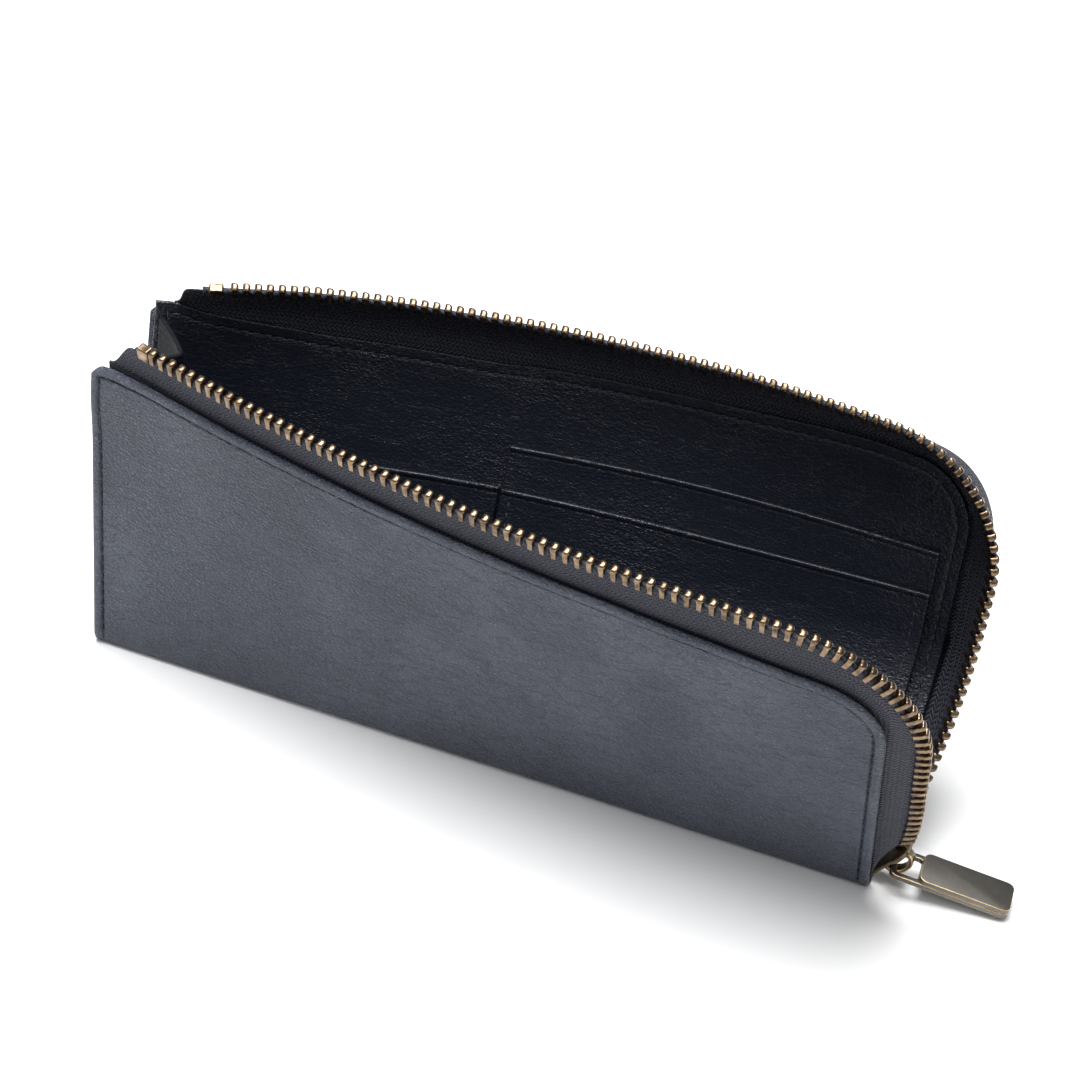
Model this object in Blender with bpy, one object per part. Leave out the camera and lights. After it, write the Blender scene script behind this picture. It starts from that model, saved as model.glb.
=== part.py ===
"""A long wallet that a zip closes along its top and one short end, standing open on its bottom fold.

Metres, +Z up. X runs along the wallet from the closed end to the zipped end, -Y is the front cover and
+Y the back cover. The origin lies under the middle of the bottom fold, on the surface it stands on.
"""

from math import cos, pi, radians, sin, sqrt

import bmesh
import bpy
import numpy as np

MM = 0.001

# Covers, measured flat
COVER_LENGTH = 181.0 * MM
COVER_HEIGHT = 76.4 * MM
COVER_CORNER = 11.0 * MM
LINING_HEIGHT = 74.4 * MM
ORIGIN_X = COVER_LENGTH / 2

# How far the covers stand apart
FOLD_HALF_WIDTH = 8.8 * MM
BACK_SPLAY = 25.7 * MM
FOOT_WIDTHS = (9.6 * MM, 12.0 * MM, 5.0 * MM)
BOW_HEIGHT = 36.0 * MM
FRONT_LEAN = (-0.6, 40.0, -20.6)
BACK_LEAN = (8.1, 38.3, -45.6, 6.0)
LEAN_LENGTH = 177.8 * MM

# Thicknesses, with the gap that separate pieces keep
GAP = 0.3 * MM
LEATHER = 1.2 * MM
TAPE = 0.6 * MM
LINING = 0.8 * MM
TAPE_DEPTH = LEATHER + GAP + TAPE / 2
LINING_DEPTH = LEATHER + GAP + TAPE + GAP
POCKET_DEPTH = LINING_DEPTH + LINING + GAP
FRONT_HEM = 1.8 * MM
FRONT_LINING_HEM = 4.6 * MM
FRONT_LINING_CUT = 4.6 * MM
BOTTOM_ROUND = 4.0 * MM
BOTTOM_EDGE_Y = -8.0 * MM

# Zip chain: the line through the middle of the teeth
PITCH = 2.54 * MM
CHAIN_HEIGHT = 85.9 * MM
CHAIN_LENGTH = 188.4 * MM
CHAIN_CORNER = {"front": 31.0 * MM, "back": 27.0 * MM}
CHAIN_START = {"front": 16.2 * MM, "back": 19.0 * MM}
CHAIN_END = 15.6 * MM
TOOTH_FOOT = -1.85 * MM          # from the middle of the row, away from the cover
TOOTH_TIP = 1.25 * MM
STOP_BEFORE = {"front": 1.8 * MM, "back": 3.3 * MM}
STOP_SIZE = {"front": (2.9 * MM, 3.0 * MM, 2.3 * MM), "back": (3.1 * MM, 3.0 * MM, 2.3 * MM)}
TOOTH_WIDTH = 1.3 * MM
TOOTH_THICKNESS = 2.4 * MM
CORD_WIDTH = 1.2 * MM
TAPE_HEM = 6.0 * MM
FRONT_TAPE_INSET = (0.15 * MM, 2.8 * MM)
BACK_TAPE_INSET = (8.7 * MM, 5.6 * MM)
FRONT_DRAW_IN = 2.7 * MM
BACK_DRAW_IN = 21.0 * MM
DRAW_IN_HEIGHT = 76.2 * MM
SIDE_RUN_IN = {"front": 5.5 * MM, "back": 6.0 * MM}
SIDE_RUN_HEIGHT = {"front": 33.0 * MM, "back": 48.0 * MM}
SLIDER_RUN_IN = {"front": 6.0 * MM, "back": 76.0 * MM}
SLIDER_RUN_HEIGHT = 22.0 * MM
# The row of teeth waves up and down: rises in mm at shares of the cover's length
CHAIN_WAVE = {
    "front": ((0.0, 0.5), (0.09, 0.2), (0.21, -0.2), (0.33, -0.5), (0.55, -0.4), (0.66, 0.0), (0.77, 0.6),
              (0.86, 0.3), (1.0, 0.0)),
    "back": ((0.0, -2.6), (0.1, -2.2), (0.2, -0.9), (0.3, -0.4), (0.5, 0.0), (0.7, 0.0), (0.85, -0.4),
             (1.0, -0.4)),
}
TAPE_START = {"front": 12.7 * MM, "back": 14.0 * MM}
TAPE_RISE = {"front": 7.5 * MM, "back": 5.5 * MM}

# Pockets on the back lining
POCKET_RIGHT = 175.5 * MM
POCKET_DIVIDE = 79.4 * MM
POCKET_LEFT = 6.0 * MM
POCKET_FOOT = 7.0 * MM
UPPER_POCKET = 55.9 * MM
LOWER_POCKET = 45.6 * MM

# Folded end panel
GUSSET_WIDTH = 14.6 * MM
GUSSET_THICKNESS = 1.0 * MM
GUSSET_FOOT = 5.0 * MM
GUSSET_TOP = 74.4 * MM
GUSSET_EDGE_X = 2.0 * MM

# Slider and its puller
SLIDER_CENTRE = (182.7 * MM, -3.9 * MM, 8.6 * MM)
SLIDER_TILT = radians(36)
SLIDER_LENGTH = 10.4 * MM
SLIDER_WIDTH = 7.8 * MM
SLIDER_TAIL = 5.6 * MM
SLIDER_PLATE = 1.0 * MM
SLIDER_CHANNEL = 2.8 * MM
BAIL_LENGTH = 7.6 * MM
BAIL_RISE = 3.6 * MM
BAIL_WIDTH = 2.4 * MM
BAIL_THICKNESS = 1.0 * MM
PIVOT_RISE = 1.2 * MM
PIVOT_DROP = 1.4 * MM
PULLER_YAW = radians(5)
PULLER_DROP = radians(8.4)
PULLER_WIDTH = 8.6 * MM
LOOP_LENGTH = 5.6 * MM
LOOP_BAR = 1.2 * MM
PLATE_LENGTH = 19.8 * MM
PLATE_THICKNESS = 1.1 * MM
PLATE_CORNER = 1.6 * MM

COLOURS = {
    "leather": ((0.035, 0.045, 0.07), 0.55, 0.0),
    "lining": ((0.012, 0.016, 0.03), 0.42, 0.0),
    "tape": ((0.03, 0.032, 0.045), 0.85, 0.0),
    "teeth": ((0.42, 0.31, 0.17), 0.35, 1.0),
    "slider": ((0.46, 0.36, 0.2), 0.3, 1.0),
    "puller": ((0.55, 0.5, 0.4), 0.3, 1.0),
}


# ---------------------------------------------------------------- the covers' surfaces

def lean(coefficients, x):
    """The cover's lean away from upright at x, in radians."""
    t = min(max(x / LEAN_LENGTH, 0.0), 1.08)
    return radians(sum(c * t ** i for i, c in enumerate(coefficients)))


def front_surface(x, v):
    """A point on the outside of the front cover, at x along it and v up it."""
    angle = lean(FRONT_LEAN, x)
    return np.array([x, -(FOLD_HALF_WIDTH + v * sin(angle)), v * cos(angle)])


def back_surface(x, v):
    """A point on the outside of the back cover, which bows out from the narrower foot it stands on."""
    angle = lean(BACK_LEAN, x)
    t = x / LEAN_LENGTH
    first, middle, last = FOOT_WIDTHS
    foot = first * (1 - t) ** 2 + (4 * middle - first - last) * t * (1 - t) + last * t * t
    full = FOLD_HALF_WIDTH + BACK_SPLAY * t
    bow = 1.0 - (1.0 - min(max(v, 0.0) / BOW_HEIGHT, 1.0)) ** 2
    return np.array([x, foot + (full - foot) * bow + v * sin(angle), v * cos(angle)])


def inward(surface, x, v, depth):
    """The point that lies depth inside the cover at (x, v)."""
    step = 0.5 * MM
    along_x = surface(x + step, v) - surface(x - step, v)
    along_v = surface(x, v + step) - surface(x, v - step)
    normal = np.cross(along_x, along_v)
    normal /= np.linalg.norm(normal)
    towards = 1.0 if surface is front_surface else -1.0
    if normal[1] * towards < 0:
        normal = -normal
    return surface(x, v) + normal * depth


def corner_height(x, length, height, radius):
    """The height of a cover at x, whose upper corner at the zipped end is rounded."""
    past = x - (length - radius)
    if past <= 0:
        return height
    return height - radius + sqrt(max(radius * radius - past * past, 0.0))


def stations(start, end, radius, plain, rounded):
    """Places along a cover: even ones, then closer ones round the corner."""
    places = list(np.linspace(start, end - radius, plain))
    for i in range(1, rounded + 1):
        places.append(end - radius + radius * sin(pi / 2 * i / rounded))
    return places


# ---------------------------------------------------------------- mesh helpers

def material(kind):
    found = bpy.data.materials.get(kind)
    if found:
        return found
    colour, roughness, metallic = COLOURS[kind]
    made = bpy.data.materials.new(kind)
    made.use_nodes = True
    shader = made.node_tree.nodes["Principled BSDF"]
    shader.inputs["Base Color"].default_value = (*colour, 1.0)
    shader.inputs["Roughness"].default_value = roughness
    shader.inputs["Metallic"].default_value = metallic
    made.diffuse_color = (*colour, 1.0)
    return made


def add_object(name, points, faces, kind, pivot=None):
    """An object from points measured from the closed end, with its origin at pivot."""
    shift = np.array([ORIGIN_X, 0.0, 0.0])
    centre = np.zeros(3) if pivot is None else np.array(pivot, float) - shift
    mesh = bpy.data.meshes.new(name)
    placed = [tuple(np.array(p, float) - shift - centre) for p in points]
    mesh.from_pydata(placed, [], faces)
    mesh.validate()
    mesh.update()
    obj = bpy.data.objects.new(name, mesh)
    obj.location = centre
    bpy.context.scene.collection.objects.link(obj)
    mesh.materials.append(material(kind))
    face_outwards(obj)
    mesh.shade_smooth()
    mesh.set_sharp_from_angle(angle=radians(35))
    return obj


def face_outwards(obj):
    """Turns the faces of a closed mesh to point out."""
    bm = bmesh.new()
    bm.from_mesh(obj.data)
    bmesh.ops.recalc_face_normals(bm, faces=bm.faces)
    if bm.calc_volume(signed=True) < 0:
        bmesh.ops.reverse_faces(bm, faces=bm.faces)
    bm.to_mesh(obj.data)
    bm.free()


def shell(outer, inner):
    """Points and faces of the closed solid between two grids of the same size."""
    rows, columns = len(outer), len(outer[0])
    points = [p for row in outer for p in row] + [p for row in inner for p in row]
    half = rows * columns

    def at(i, j, side):
        return side * half + i * columns + j

    faces = []
    for i in range(rows - 1):
        for j in range(columns - 1):
            faces.append((at(i, j, 0), at(i + 1, j, 0), at(i + 1, j + 1, 0), at(i, j + 1, 0)))
            faces.append((at(i, j, 1), at(i, j + 1, 1), at(i + 1, j + 1, 1), at(i + 1, j, 1)))
    for i in range(rows - 1):
        for j in (0, columns - 1):
            faces.append((at(i, j, 0), at(i, j, 1), at(i + 1, j, 1), at(i + 1, j, 0)))
    for j in range(columns - 1):
        for i in (0, rows - 1):
            faces.append((at(i, j, 0), at(i, j + 1, 0), at(i, j + 1, 1), at(i, j, 1)))
    return points, faces


def rises(foot, top):
    """Heights up a cover: closer ones where the back cover bows."""
    low = np.linspace(foot, BOW_HEIGHT, 8)
    return [*low, *np.linspace(BOW_HEIGHT, top, 5)[1:]]


def cover_sheet(surface, places, foot, top, depth, thickness):
    """A sheet of that thickness lying depth inside a cover, from foot up to top(x)."""
    grids = []
    for level in (depth, depth + thickness):
        grid = []
        for x in places:
            grid.append([inward(surface, x, v, level) for v in rises(foot, top(x))])
        grids.append(grid)
    return shell(*grids)


# ---------------------------------------------------------------- covers, linings and pockets

def wrap_profile(x, top):
    """(y, z) of the outside of the leather at x: the bottom, its round and the back cover."""
    corner = back_surface(x, 0.0)[1]
    points = [(y, 0.0) for y in np.linspace(BOTTOM_EDGE_Y, corner - BOTTOM_ROUND, 3)]
    start = np.array([corner - BOTTOM_ROUND, 0.0])
    middle = np.array([corner, 0.0])
    end = back_surface(x, BOTTOM_ROUND)[1:]
    for t in (0.34, 0.67, 1.0):
        point = start * (1 - t) ** 2 + middle * 2 * t * (1 - t) + end * t * t
        points.append(tuple(point))
    for v in rises(BOTTOM_ROUND, top)[1:]:
        points.append(tuple(back_surface(x, v)[1:]))
    return np.array(points)


def offset_profile(profile, depth):
    """The profile moved depth towards the inside of the wallet."""
    tangent = np.gradient(profile, axis=0)
    tangent /= np.linalg.norm(tangent, axis=1)[:, None]
    normal = np.stack([-tangent[:, 1], tangent[:, 0]], axis=1)
    return profile + normal * depth


def wrap_sheet(places, top, depth, thickness, trim=0.0):
    """A sheet that runs along the bottom and up the back cover."""
    grids = []
    for level in (depth, depth + thickness):
        grid = []
        for x in places:
            profile = offset_profile(wrap_profile(x, top(x)), level)
            profile[0, 0] += trim
            grid.append([np.array([x, y, z]) for y, z in profile])
        grids.append(grid)
    return shell(*grids)


def make_covers():
    places = stations(0.0, COVER_LENGTH, COVER_CORNER, 15, 5)

    def leather_top(x):
        return corner_height(x, COVER_LENGTH, COVER_HEIGHT, COVER_CORNER)

    def lining_top(x):
        return corner_height(x, COVER_LENGTH, LINING_HEIGHT, COVER_CORNER)

    lining_places = stations(1.0 * MM, COVER_LENGTH - 0.4 * MM, COVER_CORNER, 15, 5)
    short_places = stations(1.0 * MM, COVER_LENGTH - FRONT_LINING_CUT, COVER_CORNER, 15, 5)
    front = cover_sheet(front_surface, places, FRONT_HEM, leather_top, 0.0, LEATHER)
    add_object("front_cover_leather", *front, "leather", HINGE)
    front_lining = cover_sheet(
        front_surface, short_places, FRONT_LINING_HEM, lining_top, LINING_DEPTH, LINING
    )
    add_object("front_lining", *front_lining, "lining", HINGE)
    back = wrap_sheet(places, leather_top, 0.0, LEATHER)
    add_object("back_cover_leather", *back, "leather")
    back_lining = wrap_sheet(lining_places, lining_top, LINING_DEPTH, LINING, trim=2.6 * MM)
    add_object("back_lining", *back_lining, "lining")


def pocket(name, left, right, height, depth):
    places = list(np.linspace(left, right, 10))
    sheet = cover_sheet(back_surface, places, POCKET_FOOT, lambda x: height, depth, LINING)
    add_object(name, *sheet, "lining")


def make_pockets():
    layer = LINING + GAP
    pocket("upper_card_pocket", POCKET_DIVIDE, POCKET_RIGHT, UPPER_POCKET, POCKET_DEPTH)
    pocket("lower_card_pocket", POCKET_DIVIDE, POCKET_RIGHT, LOWER_POCKET, POCKET_DEPTH + layer)
    pocket("wide_slip_pocket", POCKET_LEFT, POCKET_DIVIDE - 2 * GAP, LOWER_POCKET, POCKET_DEPTH)


def make_gusset():
    """The end panel, folded inwards between the two covers."""
    grids = []
    for side in (-0.5, 0.5):
        grid = []
        for v in np.linspace(GUSSET_FOOT, GUSSET_TOP, 7):
            inner = LINING_DEPTH + LINING + GAP + GUSSET_THICKNESS
            front = inward(front_surface, GUSSET_EDGE_X, v, inner)
            back = inward(back_surface, GUSSET_EDGE_X, v, inner)
            half = np.linalg.norm(back - front) / 2
            depth = sqrt(max(GUSSET_WIDTH ** 2 - half ** 2, (4 * MM) ** 2))
            middle = (front + back) / 2 + np.array([depth, 0.0, 0.0])
            row = []
            for a, b in ((front, middle), (middle, back)):
                for t in ((0.0, 0.5) if a is front else (0.0, 0.5, 1.0)):
                    row.append(a * (1 - t) + b * t)
            spread = []
            for k, point in enumerate(row):
                towards_y = (k - 2) / 2
                push = np.array([1.0, 0.0, 0.0]) if k == 2 else np.array(
                    [half, towards_y / abs(towards_y) * depth, 0.0]) / sqrt(half ** 2 + depth ** 2)
                spread.append(point + push * side * GUSSET_THICKNESS)
            grid.append(spread)
        grids.append(grid)
    add_object("end_gusset", *shell(*grids), "leather")


# ---------------------------------------------------------------- zip tape and teeth

def chain_inset(side, x, v):
    """How far the chain stands inside the plane that its cover leans in."""
    t = x / LEAN_LENGTH
    first, more = FRONT_TAPE_INSET if side == "front" else BACK_TAPE_INSET
    draw = FRONT_DRAW_IN if side == "front" else BACK_DRAW_IN
    inset = first + more * t + draw * max(1.0 - v / DRAW_IN_HEIGHT, 0.0) ** 2 * t
    return inset + SLIDER_RUN_IN[side] * max(1.0 - v / SLIDER_RUN_HEIGHT, 0.0) ** 2


def chain_point(side, x, v):
    """The middle of the chain at (x, v)."""
    inset = chain_inset(side, x, v)
    share, rise = np.array(CHAIN_WAVE[side]).T
    v += np.interp(x / COVER_LENGTH, share, rise) * MM
    if side == "front":
        angle = lean(FRONT_LEAN, x)
        y = -(FOLD_HALF_WIDTH + v * sin(angle) - inset * cos(angle))
    else:
        angle = lean(BACK_LEAN, x)
        y = FOLD_HALF_WIDTH + BACK_SPLAY * x / LEAN_LENGTH + v * sin(angle) - inset * cos(angle)
    return np.array([x, y, v * cos(angle) + inset * sin(angle)])


def chain_runs(side):
    """Lengths of the chain's straight top, its corner and its straight side."""
    corner = CHAIN_CORNER[side]
    return CHAIN_LENGTH - corner - CHAIN_START[side], corner * pi / 2, CHAIN_HEIGHT - corner - CHAIN_END


def chain_place(side, s):
    """(x, v) of the chain, and of the cover's edge beside it, s along its path on the flat cover."""
    edge_x = COVER_LENGTH - COVER_CORNER
    edge_v = COVER_HEIGHT - COVER_CORNER
    corner = CHAIN_CORNER[side]
    top_run, corner_run, _ = chain_runs(side)
    if s <= top_run:
        x = CHAIN_START[side] + s
        return (x, CHAIN_HEIGHT), (min(x, edge_x), COVER_HEIGHT)
    if s <= top_run + corner_run:
        angle = (s - top_run) / corner
        x = CHAIN_LENGTH - corner + corner * sin(angle)
        v = CHAIN_HEIGHT - corner + corner * cos(angle)
        share = (s - top_run) / corner_run
        start_x = CHAIN_START[side] + top_run
        end_v = CHAIN_HEIGHT - corner
        straight = edge_x - start_x
        arc = COVER_CORNER * pi / 2
        total = straight + arc + edge_v - end_v
        run = share * total
        if run <= straight:
            return (x, v), (start_x + run, COVER_HEIGHT)
        if run <= straight + arc:
            turn = (run - straight) / COVER_CORNER
            return (x, v), (edge_x + COVER_CORNER * sin(turn), edge_v + COVER_CORNER * cos(turn))
        return (x, v), (COVER_LENGTH, edge_v - (run - straight - arc))
    v = CHAIN_HEIGHT - corner - (s - top_run - corner_run)
    x = CHAIN_LENGTH - SIDE_RUN_IN[side] * max(1.0 - v / SIDE_RUN_HEIGHT[side], 0.0) ** 2
    return (x, v), (COVER_LENGTH, v)


def measured_chain(side):
    """Lengths along the chain, and the places on the cover that they reach."""
    places = np.linspace(0.0, sum(chain_runs(side)), 900)
    line = np.array([chain_point(side, *chain_place(side, p)[0]) for p in places])
    steps = np.linalg.norm(np.diff(line, axis=0), axis=1)
    return np.concatenate([[0.0], np.cumsum(steps)]), places


def chain_frame(side, place):
    """The chain's point, its direction along, its direction away from the cover, and the tape's normal."""
    surface = front_surface if side == "front" else back_surface
    last = sum(chain_runs(side))

    def point(at):
        return chain_point(side, *chain_place(side, at)[0])

    step = 0.4 * MM
    centre = point(place)
    along = point(min(place + step, last)) - point(place - step)
    along /= np.linalg.norm(along)
    _, (x, v) = chain_place(side, place)
    edge = inward(surface, x, v, TAPE_DEPTH)
    out = centre - edge
    out -= along * (out @ along)
    out /= np.linalg.norm(out)
    return centre, along, out, np.cross(along, out), edge


def tape_hem(side, place):
    """The tape's inner edge, hidden between the leather and the lining."""
    surface = front_surface if side == "front" else back_surface
    _, (x, v) = chain_place(side, place)
    edge_x = COVER_LENGTH - COVER_CORNER
    edge_v = COVER_HEIGHT - COVER_CORNER
    out = np.array([max(x - edge_x, 0.0), max(v - edge_v, 0.0)])
    if np.linalg.norm(out) < 1e-9:
        out = np.array([0.0, 1.0])
    if v <= edge_v:
        out = np.array([1.0, 0.0])
    out /= np.linalg.norm(out)
    return inward(surface, x - out[0] * TAPE_HEM, v - out[1] * TAPE_HEM, TAPE_DEPTH)


def make_tape(side, pivot):
    """The woven strip from between the skins out to the chain. It tapers to the leather at its start."""
    upper, lower = [], []
    last = sum(chain_runs(side))
    start = np.linspace(-TAPE_START[side], 0.0, 9)[:-1]
    run = np.linspace(0.0, last - 10 * MM, 38)[:-1]
    end = np.linspace(last - 10 * MM, last, 11)
    for place in (*start, *run, *end):
        centre, along, out, normal, edge = chain_frame(side, place)
        rim = centre + out * (TOOTH_FOOT - GAP)
        if place < 0:
            share = min(1.0, (place + TAPE_START[side]) / TAPE_RISE[side])
            rim = edge + (rim - edge) * (0.15 + 0.85 * share)
        hem = tape_hem(side, place)
        line = [hem, edge, (edge + rim) / 2, rim]
        inner = np.cross(along, edge - hem)
        inner /= np.linalg.norm(inner)
        normals = [inner, inner + normal, normal, normal]
        upper.append([p + n / np.linalg.norm(n) * TAPE / 2 for p, n in zip(line, normals)])
        lower.append([p - n / np.linalg.norm(n) * TAPE / 2 for p, n in zip(line, normals)])
    add_object(f"{side}_zip_tape", *shell(upper, lower), "tape", pivot)


def make_teeth(side, pivot):
    """The row of teeth, held at their roots by the cord that the tape's edge is woven round."""
    lengths, places = measured_chain(side)
    count = int((lengths[-1] - TOOTH_WIDTH) / PITCH)
    breaks = []
    for i in range(count + 1):
        breaks += [i * PITCH, i * PITCH + TOOTH_WIDTH]
    root, cord, tip = TOOTH_FOOT, TOOTH_FOOT + CORD_WIDTH, TOOTH_TIP
    points, faces = [], []
    for s in breaks:
        centre, along, out, normal, _ = chain_frame(side, np.interp(s, lengths, places))
        for height in (-TOOTH_THICKNESS / 2, TOOTH_THICKNESS / 2):
            for reach in (root, cord, tip):
                points.append(centre + out * reach + normal * height)
    for k in range(len(breaks) - 1):
        a, b = 6 * k, 6 * (k + 1)
        tooth = k % 2 == 0
        width = 2 if tooth else 1
        for j in range(width):
            faces.append((a + j, b + j, b + j + 1, a + j + 1))
            faces.append((a + 3 + j, a + 4 + j, b + 4 + j, b + 3 + j))
        faces.append((a, a + 3, b + 3, b))
        faces.append((a + width, b + width, b + 3 + width, a + 3 + width))
        if tooth:
            faces.append((a + 1, a + 2, a + 5, a + 4))
            faces.append((b + 1, b + 4, b + 5, b + 2))
    last = 6 * (len(breaks) - 1)
    faces.append((0, 1, 4, 3))
    faces.append((last, last + 3, last + 4, last + 1))
    add_object(f"{side}_zip_teeth", points, faces, "teeth", pivot)


def box(name, centre, axes, sizes, kind, pivot=None, bevel=0.0):
    """A block whose sides follow axes."""
    corners = []
    for i in (-0.5, 0.5):
        for j in (-0.5, 0.5):
            for k in (-0.5, 0.5):
                step = axes[0] * sizes[0] * i + axes[1] * sizes[1] * j + axes[2] * sizes[2] * k
                corners.append(centre + step)
    faces = [(0, 1, 3, 2), (4, 6, 7, 5), (0, 4, 5, 1), (2, 3, 7, 6), (0, 2, 6, 4), (1, 5, 7, 3)]
    obj = add_object(name, corners, faces, kind, pivot)
    if bevel:
        rounding = obj.modifiers.new("rounding", "BEVEL")
        rounding.width = bevel
        rounding.segments = 2
    return obj


def make_stops():
    for side, pivot in (("front", HINGE), ("back", None)):
        centre, along, out, normal, _ = chain_frame(side, 0.0)
        place = centre - along * STOP_BEFORE[side] - out * 0.3 * MM
        sizes = STOP_SIZE[side]
        box(f"{side}_top_stop", place, (along, out, normal), sizes, "teeth", pivot, 0.4 * MM)


# ---------------------------------------------------------------- slider and puller

def slider_axes():
    """The slider's direction up the chain, its width and its outward normal."""
    up = np.array([sin(SLIDER_TILT), 0.0, cos(SLIDER_TILT)])
    out = np.array([cos(SLIDER_TILT), 0.0, -sin(SLIDER_TILT)])
    return up, np.cross(out, up), out


def puller_axes():
    """The puller's direction away from the slider, its width and its face's normal."""
    length = np.array([
        cos(PULLER_DROP) * cos(PULLER_YAW), cos(PULLER_DROP) * sin(PULLER_YAW), -sin(PULLER_DROP)])
    width = np.array([sin(PULLER_YAW), -cos(PULLER_YAW), 0.0])
    return length, width, np.cross(width, length)


def prism(outline, centre, axes, thickness):
    """Points and faces of a flat outline given along axes 0 and 1, extruded along axis 2."""
    count = len(outline)
    points = []
    for level in (-thickness / 2, thickness / 2):
        for a, b in outline:
            points.append(centre + axes[0] * a + axes[1] * b + axes[2] * level)
    faces = [tuple(range(count)), tuple(range(2 * count - 1, count - 1, -1))]
    for i in range(count):
        j = (i + 1) % count
        faces.append((i, i + count, j + count, j))
    return points, faces


def rounded_outline(low, high, radius, steps=4):
    """A rectangle from low to high with rounded corners."""
    outline = []
    corners = (
        (high[0] - radius, high[1] - radius, 0),
        (low[0] + radius, high[1] - radius, 1),
        (low[0] + radius, low[1] + radius, 2),
        (high[0] - radius, low[1] + radius, 3),
    )
    for a, b, quarter in corners:
        for i in range(steps + 1):
            angle = pi / 2 * (quarter + i / steps)
            outline.append((a + radius * cos(angle), b + radius * sin(angle)))
    return outline


def join_to(target, other):
    """Unites other with target, and leaves other out of the render."""
    union = target.modifiers.new("union", "BOOLEAN")
    union.operation = "UNION"
    union.solver = "EXACT"
    union.object = other
    hide(other)


def hide(obj):
    obj.hide_render = True
    obj.display_type = "WIRE"


def make_slider():
    up, width, out = slider_axes()
    centre = np.array(SLIDER_CENTRE)
    half, wide, tail = SLIDER_LENGTH / 2, SLIDER_WIDTH / 2, SLIDER_TAIL / 2
    shape = [
        (-half, -tail), (-half * 0.1, -tail), (half * 0.45, -wide), (half, -wide * 0.8),
        (half, wide * 0.8), (half * 0.45, wide), (-half * 0.1, tail), (-half, tail),
    ]
    level = (SLIDER_CHANNEL + SLIDER_PLATE) / 2
    for name, side in (("slider_body", 1), ("slider_back_plate", -1)):
        plate = prism(shape, centre + out * level * side, (up, width, out), SLIDER_PLATE)
        add_object(name, *plate, "slider", SLIDER_CENTRE)
    wedge = [(half * 0.25, 0.0), (half * 0.95, -1.6 * MM), (half * 0.95, 1.6 * MM)]
    post = prism(wedge, centre, (up, width, out), SLIDER_CHANNEL + SLIDER_PLATE)
    add_object("slider_wedge", *post, "slider", SLIDER_CENTRE)
    body = bpy.data.objects["slider_body"]
    join_to(body, bpy.data.objects["slider_back_plate"])
    join_to(body, bpy.data.objects["slider_wedge"])


def make_bail():
    """The bridge on the slider's face that the puller hangs from."""
    up, width, out = slider_axes()
    centre = np.array(SLIDER_CENTRE) + out * (SLIDER_CHANNEL / 2 + SLIDER_PLATE + GAP)
    half = BAIL_LENGTH / 2
    outer, inner = [], []
    for i in range(9):
        angle = pi * i / 8
        outer.append((half * cos(angle), BAIL_RISE * sin(angle) ** 0.8 if 0 < i < 8 else 0.0))
        thin_half, thin_rise = half - BAIL_THICKNESS, BAIL_RISE - BAIL_THICKNESS
        inner.append((thin_half * cos(angle), thin_rise * sin(angle) ** 0.8 if 0 < i < 8 else 0.0))
    points, faces = [], []
    for side in (-0.5, 0.5):
        for line in (outer, inner):
            for a, rise in line:
                points.append(centre + up * a + out * rise + width * BAIL_WIDTH * side)
    n = len(outer)
    for i in range(n - 1):
        faces.append((i, i + 1, n + i + 1, n + i))
        faces.append((2 * n + i, 3 * n + i, 3 * n + i + 1, 2 * n + i + 1))
        faces.append((i, 2 * n + i, 2 * n + i + 1, i + 1))
        faces.append((n + i, n + i + 1, 3 * n + i + 1, 3 * n + i))
    for i in (0, n - 1):
        faces.append((i, n + i, 3 * n + i, 2 * n + i))
    add_object("slider_bail", points, faces, "slider", SLIDER_CENTRE)


def puller_pivot():
    up, width, out = slider_axes()
    rise = SLIDER_CHANNEL / 2 + SLIDER_PLATE + PIVOT_RISE
    return np.array(SLIDER_CENTRE) + out * rise - up * PIVOT_DROP


def make_puller():
    length, width, face = puller_axes()
    pivot = puller_pivot()
    axes = (length, width, face)
    half = PULLER_WIDTH / 2
    start = -LOOP_BAR / 2
    frame = rounded_outline((start, -half), (LOOP_LENGTH + PLATE_LENGTH, half), PLATE_CORNER)
    points, faces = prism(frame, pivot, axes, LOOP_BAR)
    loop = add_object("puller_loop", points, faces, "puller", pivot)
    hole = rounded_outline(
        (start + LOOP_BAR, -half + LOOP_BAR), (LOOP_LENGTH, half - LOOP_BAR), 0.8 * MM)
    points, faces = prism(hole, pivot, axes, LOOP_BAR * 3)
    cutter = add_object("puller_loop_hole", points, faces, "puller", pivot)
    cut = loop.modifiers.new("hole", "BOOLEAN")
    cut.operation = "DIFFERENCE"
    cut.solver = "EXACT"
    cut.object = cutter
    hide(cutter)
    plate = rounded_outline((LOOP_LENGTH, -half), (LOOP_LENGTH + PLATE_LENGTH, half), PLATE_CORNER)
    raised = pivot + face * (LOOP_BAR / 2 + GAP / 2 + PLATE_THICKNESS / 2)
    points, faces = prism(plate, raised, axes, PLATE_THICKNESS)
    add_object("puller_plate", points, faces, "puller", pivot)


HINGE = (ORIGIN_X, -(FOLD_HALF_WIDTH - LEATHER / 2), 1.0 * MM)


def main():
    for obj in list(bpy.data.objects):
        bpy.data.objects.remove(obj, do_unlink=True)
    make_covers()
    make_pockets()
    make_gusset()
    for side, pivot in (("front", HINGE), ("back", None)):
        make_tape(side, pivot)
        make_teeth(side, pivot)
    make_stops()
    make_slider()
    make_bail()
    make_puller()


main()
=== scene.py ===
from math import cos, pi, radians, sin

import bmesh
import bpy
import numpy as np
from mathutils import Matrix, Vector, noise


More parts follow.
